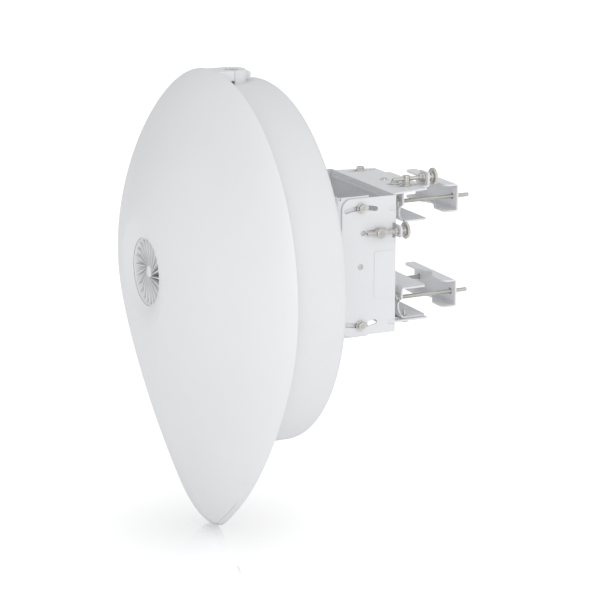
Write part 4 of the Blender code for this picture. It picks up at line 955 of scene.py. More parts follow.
# ---------------------------------------------------------------- heat sink
def vane(start):
    """One straight blade with a round upper edge, passing the hub and ending in the wall."""
    rings = []
    steps = 16
    first = 0.0036
    last = math.sqrt((CRATER_FLOOR_R - 0.0013) ** 2 - VANE_HUB_R ** 2)
    outward = Vector((math.sin(start), -math.cos(start), 0))
    side = Vector((math.cos(start), math.sin(start), 0))
    for step in range(steps + 1):
        share = step / steps
        middle = side * VANE_HUB_R + outward * (first + (last - first) * share)
        half = 0.00030 + 0.00075 * share
        top = 0.0034 - 0.0024 * share
        base = half * (1.1 + 0.9 * share)
        ring = []
        for turn in range(7):
            bend = math.pi * turn / 6
            ring.append(middle + side * half * math.cos(bend)
                        + Vector((0, 0, top + half * (1 - math.sin(bend)))))
        ring.append(middle - side * base + Vector((0, 0, 0.0205)))
        ring.append(middle + side * base + Vector((0, 0, 0.0205)))
        rings.append(ring)
    return loft(rings)


def make_heat_sink():
    outer = CRATER_FLOOR_R - 0.0002
    flange = 0.0530
    cup = [(0.0030, 0), (0.0031, 0.0050), (0.0036, 0.0078), (0.0056, 0.0094), (0.0110, 0.0112),
           (0.0165, 0.0140), (0.0190, 0.0175), (0.0194, 0.0210), (0.0186, 0.0265),
           (0.0160, 0.0325), (0.0120, 0.0380), (0.0075, 0.0418), (0.0032, outer - 0.0022),
           (0.0004, outer - 0.0010), (0.0001, outer - 0.0005), (0.0001, outer), (0.0045, outer),
           (0.0045, flange), (0.0075, flange), (0.0075, outer), (0.0210, outer), (0.0210, 0)]
    sink = turned(cup, 96)
    vanes = merged(*[vane(index * 2 * math.pi / VANES) for index in range(VANES)])
    sink = combined(sink, ("UNION", vanes))
    add_piece("spiral_heat_sink_fine", placed(sink, (0, SINK_FRONT_Y, 0), "+Y"), "heat_sink",
              "dish", ["spiral_heat_sink"], angle=40)


# ---------------------------------------------------------------- ports in the flat under the chin
def make_port_panel():
    """The plate in the flat under the chin, with a hole for each fitting, and its screws."""
    plate = rounded([(-0.044, -0.341, 0.005), (0.044, -0.341, 0.005), (0.044, -0.269, 0.005),
                     (-0.044, -0.269, 0.005)])
    holes = [circle((x, PORT_Z), 0.0083) for x in PORT_X]
    holes += [circle((VENT_X, VENT_Z), 0.0043), circle((-VENT_X, VENT_Z), 0.0034)]
    panel = extruded([plate] + holes, FLANGE_Y + GAP, FLANGE_Y + GAP + SHEET, "XZ")
    add_piece("port_panel_fine", panel, "bracket_paint", "dish", ["port_panel"], 0.0004)
    add_copies("panel_screw", pan_screw(0.0028, 0.0018), "stainless", "dish",
               [((x, PORT_BACK_Y - GAP, z), "+Y") for x in (-0.040, 0.040) for z in (-0.337, -0.273)],
               False)


def make_glands():
    """Cable glands with ribbed domes, and the rubber plugs that blank them."""
    gland = [(-0.010, 0, 0.0044), (-0.010, 0, 0.0078), (-0.0098, 0, 0.0080), (0, 0, 0.0080),
             (0, 0.0105, 0.0113), (0.0006, 0.0105, 0.0119), (0.0054, 0.0105, 0.0119),
             (0.0060, 0.0105, 0.0112), (0.0066, 0, 0.0096), (0.0078, 0, 0.0094)]
    for step in range(13):
        share = step / 12
        radius = 0.0095 - 0.0005 * share + (0.0003 if step % 2 else 0.0)
        gland.append((0.0082 + 0.0106 * share, 0, radius))
    gland += [(0.0200, 0, 0.0086), (0.0218, 0, 0.0076), (0.0230, 0, 0.0066), (0.0230, 0, 0.0044)]
    add_copies("cable_gland", hexed(gland, 60, loop=True), "black_plastic", "dish",
               [((x, PORT_BACK_Y, PORT_Z), "+Y") for x in PORT_X])
    plug = [(0, 0), (0, 0.0036), (0.0005, 0.0041), (0.0155, 0.0041), (0.0155, 0.0060),
            (0.0158, 0.0062), (0.0168, 0.0061), (0.0172, 0.0056), (0.0169, 0.0030), (0.0169, 0)]
    add_copies("gland_plug", turned(plug), "rubber", "dish",
               [((x, PORT_BACK_Y + 0.0078, PORT_Z), "+Y") for x in PORT_X])


def make_port_fittings():
    vent = [(-0.006, 0, 0.0037), (-0.0057, 0, 0.0040), (0, 0, 0.0040), (0, 0.0070, 0.0075),
            (0.0004, 0.0070, 0.0079), (0.0026, 0.0070, 0.0079), (0.0030, 0.0070, 0.0073),
            (0.0040, 0, 0.0062), (0.0045, 0, 0.0054), (0.0045, 0, 0.0030), (0.0040, 0, 0.0028),
            (0.0040, 0, 0.0002)]
    fittings = (("pressure_vent", hexed(vent), "black_plastic", VENT_X),
                ("ground_screw", bolt(0.010, 0.0050), "stainless", -VENT_X))
    for name, shape, material, x in fittings:
        add_piece(f"{name}_fine", placed(shape, (x, PORT_BACK_Y, VENT_Z), "+Y"), material, "dish",
                  [name])


# ---------------------------------------------------------------- tilt bracket, dish side
def make_pedestal():
    front = DRUM_BACK_Y + GAP
    back = INNER_WEB_Y[0] - GAP
    size_x = 0.092
    size_z = 0.099
    wall = 0.004
    hollow = rectangle(size_x - wall, size_z - wall, 0.008)
    pedestal = extruded([rectangle(size_x, size_z, 0.012), hollow], front, back, "XZ")
    floor = rectangle(size_x - wall / 2, size_z - wall / 2, 0.010)
    posts = [rod((x, front + 0.001, z), "+Y", back - front - 0.001, 0.0095) for x, z in BRACKET_BOLTS]
    posts += [rod((x, front + 0.001, z), "+Y", 0.015, 0.0080) for x, z in PEDESTAL_SCREWS]
    rib = wall * 0.6
    ribs = [box((-size_x + 0.002, front + 0.002, -rib / 2), (size_x - 0.002, front + 0.014, rib / 2)),
            box((-rib / 2, front + 0.002, -size_z + 0.002), (rib / 2, front + 0.014, size_z - 0.002))]
    outside = extruded([rectangle(size_x, size_z, 0.012)], front - 0.01, back + 0.01, "XZ")
    holes = [rod((x, back - 0.021, z), "+Y", 0.03, CLEAR_R) for x, z in BRACKET_BOLTS]
    pedestal = combined(pedestal, ("UNION", extruded([floor], front, front + 0.004, "XZ")),
                        ("UNION", merged(*posts)), ("UNION", ribs[0]), ("UNION", ribs[1]),
                        ("INTERSECT", outside), ("DIFFERENCE", merged(*holes)))
    add_piece("dish_pedestal_fine", pedestal, "cast_aluminium", "dish", ["dish_pedestal"], 0.0007)
    add_copies("pedestal_screw", bolt(0.012, 0.0050), "stainless", "dish",
               [((x, front + 0.0161, z), "+Y") for x, z in PEDESTAL_SCREWS], False)


def side_view(points):
    """The block that trims both side plates to one outline."""
    return extruded([rounded(points)], -THROUGH, THROUGH, "YZ")


def make_inner_bracket():
    """A U of sheet: the web bolts to the pedestal and the sides run back past the pivot."""
    middle = INNER_WEB_Y[0] + SHEET / 2
    side = INNER_X - SHEET / 2
    back = TILT_Y + 0.0455
    outline = sheet([(-side, back), (-side, middle), (side, middle), (side, back)])
    bracket = extruded([outline], INNER_BOTTOM, INNER_TOP, "XY")
    front = INNER_WEB_Y[0] - 0.01
    shape = [(front, INNER_BOTTOM - 0.01, 0), (TILT_Y + 0.013, INNER_BOTTOM - 0.01, 0),
             (TILT_Y + 0.013, -0.068, 0.004), (back, -0.020, 0.008), (back, 0.026, 0.008),
             (TILT_BARREL_Y + 0.0083, 0.069, 0.004), (TILT_Y + 0.013, 0.075, 0.002),
             (TILT_Y + 0.013, INNER_TOP + 0.01, 0), (front, INNER_TOP + 0.01, 0)]
    window = extruded([rectangle(0.055, 0.060, 0.012)], front, INNER_WEB_Y[1] + 0.01, "XZ")
    relief = [box((sign * (side + 0.005) - 0.006, INNER_WEB_Y[1] - 0.0005, z - 0.004),
                  (sign * (side + 0.005) + 0.006, INNER_WEB_Y[1] + 0.003, z + 0.004))
              for z in (INNER_TOP, INNER_BOTTOM) for sign in (1, -1)]
    holes = [rod((-THROUGH, TILT_Y, z), "+X", 2 * THROUGH, CLEAR_R) for z in (TILT_SLOT_R, -TILT_SLOT_R)]
    holes.append(rod((-THROUGH, TILT_Y, 0), "+X", 2 * THROUGH, PIVOT_R))
    holes += [rod((x, INNER_WEB_Y[0] - 0.004, z), "+Y", 0.010, CLEAR_R) for x, z in BRACKET_BOLTS]
    fork = slot((TILT_BARREL_Y, TILT_SCREW_Z - 0.006), (TILT_BARREL_Y, TILT_SCREW_Z + 0.009),
                0.0049)
    holes.append(extruded([fork], 0.08, THROUGH, "YZ"))
    bracket = combined(bracket, ("INTERSECT", side_view(shape)),
                       ("DIFFERENCE", window), ("DIFFERENCE", merged(*relief)),
                       ("DIFFERENCE", merged(*holes)))
    add_piece("inner_tilt_bracket_fine", bracket, "bracket_paint", "dish",
              ["inner_tilt_bracket"], 0.0005)


def make_dish_fasteners():
    add_copies("bracket_bolt", bolt(0.018, 0.0062), "stainless", "dish",
               [((x, INNER_WEB_Y[1] + GAP, z), "+Y") for x, z in BRACKET_BOLTS])
    places = [(sign, z) for sign in (1, -1) for z in (TILT_SLOT_R, -TILT_SLOT_R)]
    add_copies("tilt_lock_bolt", bolt(0.0165, 0.0068), "stainless", "dish",
               [((sign * (SIDE_X + 0.0007), TILT_Y, z), "+X" if sign > 0 else "-X")
                for sign, z in places])
    inside = INNER_X - SHEET - GAP
    add_copies("tilt_lock_nut", nut(0.0050, 0.0068), "stainless", "dish",
               [((sign * inside, TILT_Y, z), "-X" if sign > 0 else "+X") for sign, z in places],
               False)


# ---------------------------------------------------------------- outer bracket
def bracket_blank():
    """The web with its two sides, as bent from the sheet."""
    middle = WEB_Y[0] + SHEET / 2
    side = SIDE_X - SHEET / 2
    outline = sheet([(-side, SIDE_FRONT_Y), (-side, middle), (side, middle), (side, SIDE_FRONT_Y)])
    back = WEB_Y[1] + 0.01
    shape = [(SIDE_FRONT_Y, SIDE_BOTTOM, 0.014), (back, SIDE_BOTTOM, 0), (back, SIDE_TOP, 0),
             (SIDE_FRONT_Y, SIDE_TOP, 0.014)]
    return combined(extruded([outline], SIDE_BOTTOM, SIDE_TOP, "XY"), ("INTERSECT", side_view(shape)))


def bracket_flanges():
    """The top and bottom flanges, narrower towards the rear, with the turn screw's lug."""
    middle = WEB_Y[0] + SHEET / 2
    top = SIDE_TOP - SHEET / 2
    bottom = SIDE_BOTTOM + SHEET / 2
    profile = sheet([(TOP_FLANGE_END_Y, top), (middle, top), (middle, bottom), (JAW_EDGE_Y, bottom)])
    front = WEB_Y[1] + 0.0005
    trims = []
    for sign in (1, -1):
        upper = [(sign * 0.0905, front), (sign * 0.079, TOP_FLANGE_END_Y + 0.001),
                 (sign * 0.1, TOP_FLANGE_END_Y + 0.001), (sign * 0.1, front)]
        trims.append(extruded([upper], SIDE_TOP - 0.006, SIDE_TOP + 0.004, "XY"))
        lower = [(sign * 0.062, front), (sign * 0.062, JAW_EDGE_Y + 0.003),
                 (sign * 0.095, JAW_EDGE_Y + 0.003), (sign * 0.095, front)]
        trims.append(extruded([lower], SIDE_BOTTOM - 0.004, SIDE_BOTTOM + 0.008, "XY"))
    lug = sheet([(TOP_FLANGE_END_Y - 0.004, top), (TURN_TAB_Y, top), (TURN_TAB_Y, 0.1155)])
    return [("UNION", extruded([profile], -0.091, 0.091, "YZ")), ("DIFFERENCE", merged(*trims)),
            ("UNION", extruded([lug], 0.041, 0.066, "YZ"))]


def tilt_screw_lug():
    """The lug for the tilt screw, bent out of a notch in the side."""
    notch = box((0.098, WEB_Y[0] - 0.0045, TILT_SCREW_Z - 0.0105),
                (0.105, WEB_Y[1] + 0.004, TILT_SCREW_Z + 0.0105))
    lug = rounded([(0.090, TILT_SCREW_Z - 0.0085, 0), (0.1185, TILT_SCREW_Z - 0.0085, 0.004),
                   (0.1185, TILT_SCREW_Z + 0.0085, 0.004), (0.090, TILT_SCREW_Z + 0.0085, 0)])
    return [("DIFFERENCE", notch), ("UNION", extruded([lug], *WEB_Y, "XZ"))]


def pressed_marks():
    """The raised pad on the side, the web's rib and the dimples at the bend."""
    front = TILT_Y + 0.021
    back = WEB_Y[0] - 0.001
    pad = rounded([(front, -0.047, 0.003), (back, -0.047, 0.003), (back, 0.0195, 0.003),
                   (front, 0.0195, 0.003)])
    steps = [("UNION", extruded([pad], SIDE_X - 0.001, SIDE_X + 0.0005, "YZ")),
             ("UNION", box((-0.0975, WEB_Y[0] - 0.0014, 0.0852), (0.0975, WEB_Y[0] + 0.001, 0.0893)))]
    for z in (0.079, -0.084):
        dimple = slot((WEB_Y[0] - 0.0075, z), (WEB_Y[1] + 0.006, z), 0.0033)
        corner = box((SIDE_X - 0.0040, WEB_Y[1] - 0.0012, z - 0.0033),
                     (SIDE_X + 0.001, WEB_Y[1] + 0.002, z + 0.0033))
        steps += [("DIFFERENCE", extruded([dimple], SIDE_X - 0.0011, SIDE_X + 0.002, "YZ")),
                  ("DIFFERENCE", corner)]
    return steps


def make_outer_bracket():
    """One bent sheet: sides forward to the tilt pivot, flanges back to the pole bracket."""
    bracket = combined(bracket_blank(), *bracket_flanges(), *tilt_screw_lug(), *pressed_marks())
    bracket = combined(bracket, ("DIFFERENCE", merged(*outer_bracket_slots())),
                       ("DIFFERENCE", merged(*outer_bracket_bores())),
                       ("DIFFERENCE", keyhole_slit()), ("DIFFERENCE", keyhole_eye()))
    add_piece("outer_bracket_fine", bracket, "bracket_paint", "turn_bracket", ["outer_bracket"],
              0.0004)


def outer_bracket_slots():
    """The arc slots for the lock bolts and the straight slots for the barrels' stems."""
    shapes = []
    for middle in (90, -90):
        outline = arc_slot((TILT_Y, 0), TILT_SLOT_R, middle, RANGE, 0.0035, 20)
        shapes.append(extruded([outline], -THROUGH, THROUGH, "YZ"))
    stem = slot((TILT_BARREL_Y - 0.0137, TILT_SCREW_Z), (TILT_BARREL_Y + 0.0137, TILT_SCREW_Z),
                STEM_R)
    shapes.append(extruded([stem], 0.096, THROUGH, "YZ"))
    top = (SIDE_TOP - 0.006, SIDE_TOP + 0.002)
    bottom = (SIDE_BOTTOM - 0.002, SIDE_BOTTOM + 0.006)
    locks = [(LOCK_FAR, top), (LOCK_NEAR, top), (LOCK_LOW, bottom),
             ((-LOCK_LOW[0], LOCK_LOW[1]), bottom)]
    for (x, y), depth in locks:
        reach = math.hypot(x, y - TURN_Y)
        middle = math.degrees(math.atan2(y - TURN_Y, x))
        shapes.append(extruded([arc_slot((0, TURN_Y), reach, middle, RANGE, CLEAR_R)], *depth, "XY"))
    reach = TURN_SCREW_X * math.radians(15) + 0.0006
    stem = slot((TURN_SCREW_X, TURN_BARREL_Y - reach), (TURN_SCREW_X, TURN_BARREL_Y + reach),
                STEM_R)
    shapes.append(extruded([stem], *top, "XY"))
    return shapes


def outer_bracket_bores():
    return [rod((-THROUGH, TILT_Y, 0), "+X", 2 * THROUGH, PIVOT_R),
            rod((0, TURN_Y, SIDE_TOP - 0.006), "+Z", 0.008, 0.0047),
            rod((0, TURN_Y, SIDE_BOTTOM - 0.002), "+Z", 0.008, 0.0047),
            rod((TURN_SCREW_X, TURN_TAB_Y - 0.01, TURN_SCREW_Z), "+Y", 0.02, STEM_R),
            rod((TILT_SCREW_X, WEB_Y[0] - 0.01, TILT_SCREW_Z), "+Y", 0.02, STEM_R)]


def keyhole_slit():
    """The thin slit at the front end of the tilt screw's slot."""
    slit = slot((TILT_Y + 0.0032, TILT_SCREW_Z), (TILT_BARREL_Y - 0.012, TILT_SCREW_Z), 0.0009, 6)
    return extruded([slit], 0.096, THROUGH, "YZ")


def keyhole_eye():
    return rod((0.096, TILT_Y + 0.0032, TILT_SCREW_Z), "+X", 0.02, 0.0039)


def make_tilt_pivots():
    rivet = [(0, 0), (0, 0.0034), (0.0002, 0.0037), (0.0006, 0.0040), (0.0067, 0.0040),
             (0.0067, 0.0058), (0.0071, 0.0060), (0.0083, 0.0060), (0.0087, 0.0055), (0.0087, 0)]
    add_copies("tilt_pivot_pin", turned(rivet), "stainless", "turn_bracket",
               [((SIDE_X + 0.0007, TILT_Y, 0), "-X"), ((-SIDE_X - 0.0007, TILT_Y, 0), "+X")])


def make_tilt_adjuster():
    barrel = [(0, 0), (0, 0.0027), (0.0003, 0.0030), (0.0065, 0.0030), (0.0065, 0.0057),
              (0.0068, 0.0060), (0.0178, 0.0060), (0.0180, 0.0062), (0.0180, 0.0068),
              (0.0182, 0.0070), (0.0198, 0.0070), (0.0205, 0.0066), (0.0208, 0.0060), (0.0208, 0)]
    body = placed(turned(barrel), (SIDE_X - 0.006, TILT_BARREL_Y, TILT_SCREW_Z), "+X")
    axis = Vector((TILT_SCREW_X, 0, TILT_SCREW_Z))
    bore = rod(axis + Vector((0, TILT_BARREL_Y - 0.02, 0)), "+Y", 0.04, 0.0032)
    add_piece("tilt_barrel_fine", combined(body, ("DIFFERENCE", bore)), "stainless", "tilt_barrel",
              ["tilt_barrel"], 0.0002)
    jam = placed(nut(0.0034), axis + Vector((0, TILT_BARREL_Y + 0.0073, 0)), "+Y")
    add_piece("tilt_jam_nut_fine", jam, "stainless", "tilt_barrel", ["tilt_jam_nut"])
    tip = TILT_BARREL_Y - 0.0195
    screw = placed(thumbscrew(WEB_Y[1] + GAP - tip, 0.0070), axis + Vector((0, tip, 0)), "+Y")
    add_piece("tilt_thumbscrew_fine", screw, "stainless", "tilt_thumbscrew", ["tilt_thumbscrew"])
    collar = placed(nut(0.0045), axis + Vector((0, WEB_Y[0] - GAP, 0)), "-Y")
    add_piece("tilt_collar_nut_fine", collar, "stainless", "tilt_thumbscrew", ["tilt_collar_nut"])


def make_turn_adjuster():
    barrel = [(-0.0053, 0), (-0.0053, 0.0027), (-0.0050, 0.0030), (0, 0.0030), (0, 0.0064),
              (0.0002, 0.0066), (0.0012, 0.0066), (0.0016, 0.0063), (0.0022, 0.0054),
              (0.0134, 0.0054), (0.0141, 0.0051), (0.0146, 0.0045), (0.0146, 0)]
    body = placed(turned(barrel), (TURN_SCREW_X, TURN_BARREL_Y, SIDE_TOP + GAP))
    axis = Vector((TURN_SCREW_X, 0, TURN_SCREW_Z))
    bore = rod(axis + Vector((0, TURN_BARREL_Y - 0.02, 0)), "+Y", 0.04, 0.0032)
    add_piece("turn_barrel_fine", combined(body, ("DIFFERENCE", bore)), "stainless", "turn_barrel",
              ["turn_barrel"], 0.0002)
    tip = TURN_BARREL_Y - 0.0212
    shoulder = TURN_TAB_Y + SHEET / 2 + GAP
    screw = placed(thumbscrew(shoulder - tip, 0.0100), axis + Vector((0, tip, 0)), "+Y")
    add_piece("turn_thumbscrew_fine", screw, "stainless", "turn_thumbscrew", ["turn_thumbscrew"])
    collar = placed(nut(0.0075, 0.0068), axis + Vector((0, TURN_TAB_Y - SHEET / 2 - GAP, 0)), "-Y")
    add_piece("turn_collar_nut_fine", collar, "stainless", "turn_thumbscrew", ["turn_collar_nut"])


# ---------------------------------------------------------------- pole bracket and clamps
def corner_tool(corner, radius, facing, steps, low, high):
    """What an upright corner loses when it is rounded; facing is 1 or -1 for an edge to +-Y."""
    side = math.copysign(1, corner[0])
    out = 0.002
    centre = (corner[0] - side * radius, corner[1] - facing * radius)
    outline = arc(centre, radius, 0 if side > 0 else 180 * facing, 90 * facing, steps)
    outline += [(centre[0], corner[1] + facing * out),
                (corner[0] + side * out, corner[1] + facing * out),
                (corner[0] + side * out, centre[1])]
    return extruded([outline], low, high, "XY")


def jaw_channels():
    """The upper and the lower jaw, open towards the pole."""
    middle = POLE_WEB_Y[0] + SHEET / 2
    channels = []
    for low, high in (UPPER_JAW_Z, LOWER_JAW_Z):
        path = [(JAW_EDGE_Y, high - SHEET / 2), (middle, high - SHEET / 2),
                (middle, low + SHEET / 2), (JAW_EDGE_Y, low + SHEET / 2)]
        channels.append(extruded([sheet(path)], -JAW_X, JAW_X, "YZ"))
    return merged(*channels)


def turn_plates():
    """The plates under and over which the outer bracket turns."""
    flat_y = POLE_WEB_Y[0] + 0.006
    upper = rounded([(-0.0815, -0.0680, 0.004), (0.0660, -0.0655, 0.004),
                     (0.0660, -0.0410, 0.004), (0.0480, -0.0410, 0), (0.0480, flat_y, 0),
                     (-0.0480, flat_y, 0), (-0.0480, -0.0430, 0), (-0.0600, -0.0430, 0.004),
                     (-0.0815, -0.0520, 0.004)])
    lower = rounded([(-0.0140, -0.0690, 0.006), (0.0140, -0.0690, 0.006), (0.0240, flat_y, 0),
                     (-0.0240, flat_y, 0)])
    return (extruded([upper], UPPER_JAW_Z[1] - SHEET, UPPER_JAW_Z[1], "XY"),
            extruded([lower], LOWER_JAW_Z[0], LOWER_JAW_Z[0] + SHEET, "XY"))


def make_pole_bracket():
    """Two channels that bear on the pole, joined by a narrow spine."""
    front = POLE_WEB_Y[0]
    spine = box((-0.030, front, LOWER_JAW_Z[1] - 0.012),
                (0.030, POLE_WEB_Y[1], UPPER_JAW_Z[0] + 0.012))
    nut_room = box((LOCK_NEAR[0] - 0.008, front - 0.004, UPPER_JAW_Z[1] - 0.011),
                   (LOCK_NEAR[0] + 0.008, POLE_WEB_Y[1] + 0.004, UPPER_JAW_Z[1] - SHEET))
    corners = [corner_tool((x, JAW_EDGE_Y), 0.005, 1, 10, low - 0.002, high + 0.002)
               for low, high in (UPPER_JAW_Z, LOWER_JAW_Z) for x in (JAW_X, -JAW_X)]
    holes = [rod((x, front - 0.004, z), "+Y", 0.012, CLEAR_R) for z in ROD_Z for x in (-ROD_X, ROD_X)]
    reliefs = [rod((x, front - 0.003, z), "+Y", 0.0068, 0.0115, 64)
               for z in (UPPER_JAW_Z[0] + 0.0125, LOWER_JAW_Z[0] + 0.0165) for x in (-JAW_X, JAW_X)]
    upper_plate, lower_plate = turn_plates()
    bracket = combined(jaw_channels(), ("UNION", spine), ("UNION", upper_plate),
                       ("UNION", lower_plate), ("DIFFERENCE", nut_room),
                       ("DIFFERENCE", merged(*corners)), ("DIFFERENCE", merged(*holes, *reliefs)),
                       ("DIFFERENCE", merged(*pole_bracket_bores())))
    add_piece("pole_bracket_fine", bracket, "bracket_paint", "pole_mount", ["pole_bracket"], 0.0004)


def pole_bracket_bores():
    top = UPPER_JAW_Z[1] - 0.008
    bottom = LOWER_JAW_Z[0] - 0.002
    bores = [rod((x, y, top), "+Z", 0.010, CLEAR_R) for x, y in (LOCK_FAR, LOCK_NEAR)]
    fork = slot((TURN_SCREW_X - 0.0013, TURN_BARREL_Y - 0.0002),
                (TURN_SCREW_X + 0.0036, TURN_BARREL_Y - 0.0002), 0.0042)
    bores.append(extruded([fork], top + 0.004, top + 0.012, "XY"))
    bores += [rod((sign * LOCK_LOW[0], LOCK_LOW[1], bottom), "+Z", 0.010, CLEAR_R)
              for sign in (1, -1)]
    bores += [rod((0, TURN_Y, low), "+Z", 0.012, 0.0046) for low in (top, bottom - 0.002)]
    return bores


def make_turn_pivots():
    head = 0.0012
    grip = head + 0.0009 + 2 * SHEET
    profile = [(0, 0), (0, 0.0046), (head * 0.2, 0.0056), (head * 0.5, 0.0061), (head, 0.0062),
               (head, 0.0045), (grip, 0.0045), (grip + 0.0004, 0.0042), (grip + 0.0004, 0)]
    add_copies("turn_pivot_pin", turned(profile), "stainless", "pole_mount",
               [((0, TURN_Y, SIDE_TOP + GAP + head), "-Z"),
                ((0, TURN_Y, SIDE_BOTTOM - GAP - head), "+Z")])


def make_turn_locks():
    add_copies("upper_turn_bolt", bolt(0.0105, 0.0055), "stainless", "pole_mount",
               [((x, y, SIDE_TOP + GAP), "+Z") for x, y in (LOCK_FAR, LOCK_NEAR)])
    add_copies("upper_turn_nut", nut(0.0050), "stainless", "pole_mount",
               [((x, y, UPPER_JAW_Z[1] - SHEET - GAP), "-Z") for x, y in (LOCK_FAR, LOCK_NEAR)],
               False)
    low = [(LOCK_LOW[0], LOCK_LOW[1]), (-LOCK_LOW[0], LOCK_LOW[1])]
    add_copies("lower_turn_bolt", bolt(0.0145, 0.0045), "stainless", "pole_mount",
               [((x, y, SIDE_BOTTOM - GAP), "-Z") for x, y in low])


def make_rods():
    length = ROD_HIGH.y - ROD_LOW.y
    places = [((x, ROD_LOW.y, z), "+Y") for z in ROD_Z for x in (-ROD_X, ROD_X)]
    add_copies("clamp_rod", threaded(length), "zinc_rod", "pole_mount", places, angle=60)
    add_copies("rod_front_nut", nut(0.0052, 0.0066), "stainless", "pole_mount",
               [((x, POLE_WEB_Y[0] - GAP, z), "-Y") for z in ROD_Z for x in (-ROD_X, ROD_X)],
               False)


def make_clamp(name, z):
    """A channel with a V across its flanges that pulls the pole against the jaws."""
    back = CLAMP_HIGH.y
    width = CLAMP_HIGH.x
    middle_y = back - SHEET / 2
    tip = CLAMP_LOW.y
    half = (CLAMP_HIGH.z - CLAMP_LOW.z - SHEET) / 2
    path = [(tip, z + half), (middle_y, z + half), (middle_y, z - half), (tip, z - half)]
    notch = rounded([(-0.033, tip - 0.004, 0), (-0.0290, tip, 0.004), (-0.004, tip + 0.0130, 0.003),
                     (0.004, tip + 0.0130, 0.003), (0.0290, tip, 0.004), (0.033, tip - 0.004, 0)])
    trims = [extruded([notch], z - 0.03, z + 0.03, "XY")]
    trims += [corner_tool((x, tip), 0.009, -1, 12, z - 0.03, z + 0.03) for x in (width, -width)]
    holes = [rod((x, middle_y - 0.006, z), "+Y", 0.012, 0.0042) for x in (-ROD_X, ROD_X)]
    clamp = combined(extruded([sheet(path)], -width, width, "YZ"), ("DIFFERENCE", merged(*trims)),
                     ("DIFFERENCE", merged(*holes)))
    body = f"{name}_clamp"
    add_piece(f"{name}_clamp_fine", clamp, "bracket_paint", body, [body], 0.0004)
    add_copies(f"{name}_clamp_nut", nut(0.0060, 0.0068), "stainless", body,
               [((x, back + GAP, z), "+Y") for x in (-ROD_X, ROD_X)])


# ---------------------------------------------------------------- camera, floor and light
WORLD_LEVEL = (0.84, 0.81)                 # at the horizon and overhead
WORLD_SIDE = 0.21                          # added towards +X
FLOOR_GLOW = (0.54, 0.86)                  # cast on the object, and seen in the picture


def make_camera():
    data = bpy.data.cameras.new("camera")
    data.sensor_width = 36.0
    data.lens = 136.0
    camera = bpy.data.objects.new("camera", data)
    bpy.context.scene.collection.objects.link(camera)
    camera.location = (2.761, -1.512, 0.739)
    back = Vector((0.8741, -0.4151, 0.2521))
    camera.rotation_euler = (-back).to_track_quat("-Z", "Y").to_euler()
    bpy.context.scene.camera = camera


def make_floor():
    """A pale glossy table whose mirror fades out away from where the dish touches it."""
    shape = bmesh.new()
    bmesh.ops.create_grid(shape, x_segments=8, y_segments=8, size=6.0)
    floor = new_object("floor", placed(shape, (0, 0, COVER_LOW.z - 0.0004)))
    material = bpy.data.materials.new("floor")
    material.use_nodes = True
    tree = material.node_tree
    tree.nodes.remove(tree.nodes["Principled BSDF"])
    matt = add_node(tree, "ShaderNodeBsdfDiffuse")
    matt.inputs["Color"].default_value = (0.45, 0.45, 0.455, 1.0)
    glow = add_node(tree, "ShaderNodeEmission")
    glow.inputs["Color"].default_value = (1.0, 1.0, 1.0, 1.0)
    both = add_node(tree, "ShaderNodeAddShader")
    mirror = add_node(tree, "ShaderNodeBsdfGlossy")
    mirror.inputs["Color"].default_value = (1.0, 1.0, 1.0, 1.0)
    mirror.inputs["Roughness"].default_value = 0.02
    rays = add_node(tree, "ShaderNodeLightPath")
    tree.links.new(ramp(tree, rays.outputs["Is Camera Ray"], *FLOOR_GLOW, 0.0, 1.0),
                   glow.inputs["Strength"])
    place = add_node(tree, "ShaderNodeTexCoord")
    spread = add_node(tree, "ShaderNodeMapping", vector_type="POINT")
    spread.inputs["Location"].default_value = (0.0, 0.02 - RIM_Y, -COVER_LOW.z)
    reach = add_node(tree, "ShaderNodeVectorMath", operation="LENGTH")
    tree.links.new(place.outputs["Object"], spread.inputs["Vector"])
    tree.links.new(spread.outputs["Vector"], reach.inputs[0])
    fade = ramp(tree, reach.outputs["Value"], 0.62, 0.0, 0.0, 0.34)
    blend = add_node(tree, "ShaderNodeMixShader")
    tree.links.new(matt.outputs["BSDF"], both.inputs[0])
    tree.links.new(glow.outputs["Emission"], both.inputs[1])
    tree.links.new(fade, blend.inputs["Fac"])
    tree.links.new(both.outputs["Shader"], blend.inputs[1])
    tree.links.new(mirror.outputs["BSDF"], blend.inputs[2])
    tree.links.new(blend.outputs["Shader"], tree.nodes["Material Output"].inputs["Surface"])
    floor.data.materials.append(material)


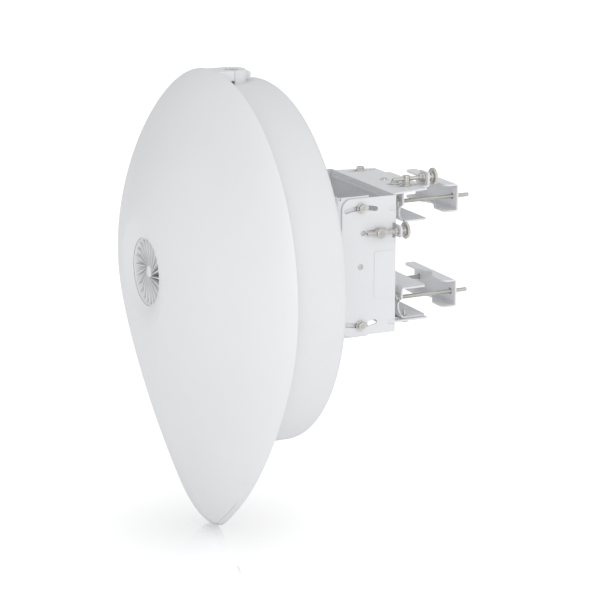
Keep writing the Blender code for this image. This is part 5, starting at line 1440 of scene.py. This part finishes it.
def make_world():
    """White behind the object; softer light from all round it, a little weaker from above."""
    world = bpy.data.worlds.new("studio")
    bpy.context.scene.world = world
    world.use_nodes = True
    tree = world.node_tree
    ambient = tree.nodes["Background"]
    ambient.inputs["Color"].default_value = (0.985, 0.99, 1.0, 1.0)
    place = add_node(tree, "ShaderNodeTexCoord")
    parts = add_node(tree, "ShaderNodeSeparateXYZ")
    tree.links.new(place.outputs["Generated"], parts.inputs["Vector"])
    level = ramp(tree, parts.outputs["Z"], WORLD_LEVEL[0], WORLD_LEVEL[1], 0.0, 0.9)
    side = add_node(tree, "ShaderNodeMath", operation="MULTIPLY_ADD")
    side.inputs[1].default_value = WORLD_SIDE
    tree.links.new(parts.outputs["X"], side.inputs[0])
    tree.links.new(level, side.inputs[2])
    tree.links.new(side.outputs["Value"], ambient.inputs["Strength"])
    seen = add_node(tree, "ShaderNodeBackground")
    seen.inputs["Color"].default_value = (1.0, 1.0, 1.0, 1.0)
    seen.inputs["Strength"].default_value = 1.05
    rays = add_node(tree, "ShaderNodeLightPath")
    choose = add_node(tree, "ShaderNodeMixShader")
    tree.links.new(rays.outputs["Is Camera Ray"], choose.inputs["Fac"])
    tree.links.new(ambient.outputs["Background"], choose.inputs[1])
    tree.links.new(seen.outputs["Background"], choose.inputs[2])
    tree.links.new(choose.outputs["Shader"], tree.nodes["World Output"].inputs["Surface"])


def make_key_light():
    """A large weak softbox beside the camera, aimed at the drum."""
    data = bpy.data.lights.new("key_softbox", "AREA")
    data.shape = "RECTANGLE"
    data.size = 1.6
    data.size_y = 1.6
    data.energy = 10.0
    light = bpy.data.objects.new("key_softbox", data)
    bpy.context.scene.collection.objects.link(light)
    light.location = (2.7, -1.0, 0.6)
    aim = Vector((0.0, -0.2, -0.05)) - light.location
    light.rotation_euler = aim.to_track_quat("-Z", "Y").to_euler()


# ---------------------------------------------------------------- assembly
bpy.context.scene.view_settings.view_transform = "Standard"
make_camera()
make_world()
make_key_light()
make_floor()
MATERIALS = make_materials()
make_front_cover()
make_rear_housing()
make_heat_sink()
make_port_panel()
make_glands()
make_port_fittings()
make_pedestal()
make_inner_bracket()
make_dish_fasteners()
make_outer_bracket()
make_tilt_pivots()
make_tilt_adjuster()
make_turn_adjuster()
make_pole_bracket()
make_turn_pivots()
make_turn_locks()
make_rods()
make_clamp("upper", ROD_Z[0])
make_clamp("lower", ROD_Z[1])
dress_carried_nodes()
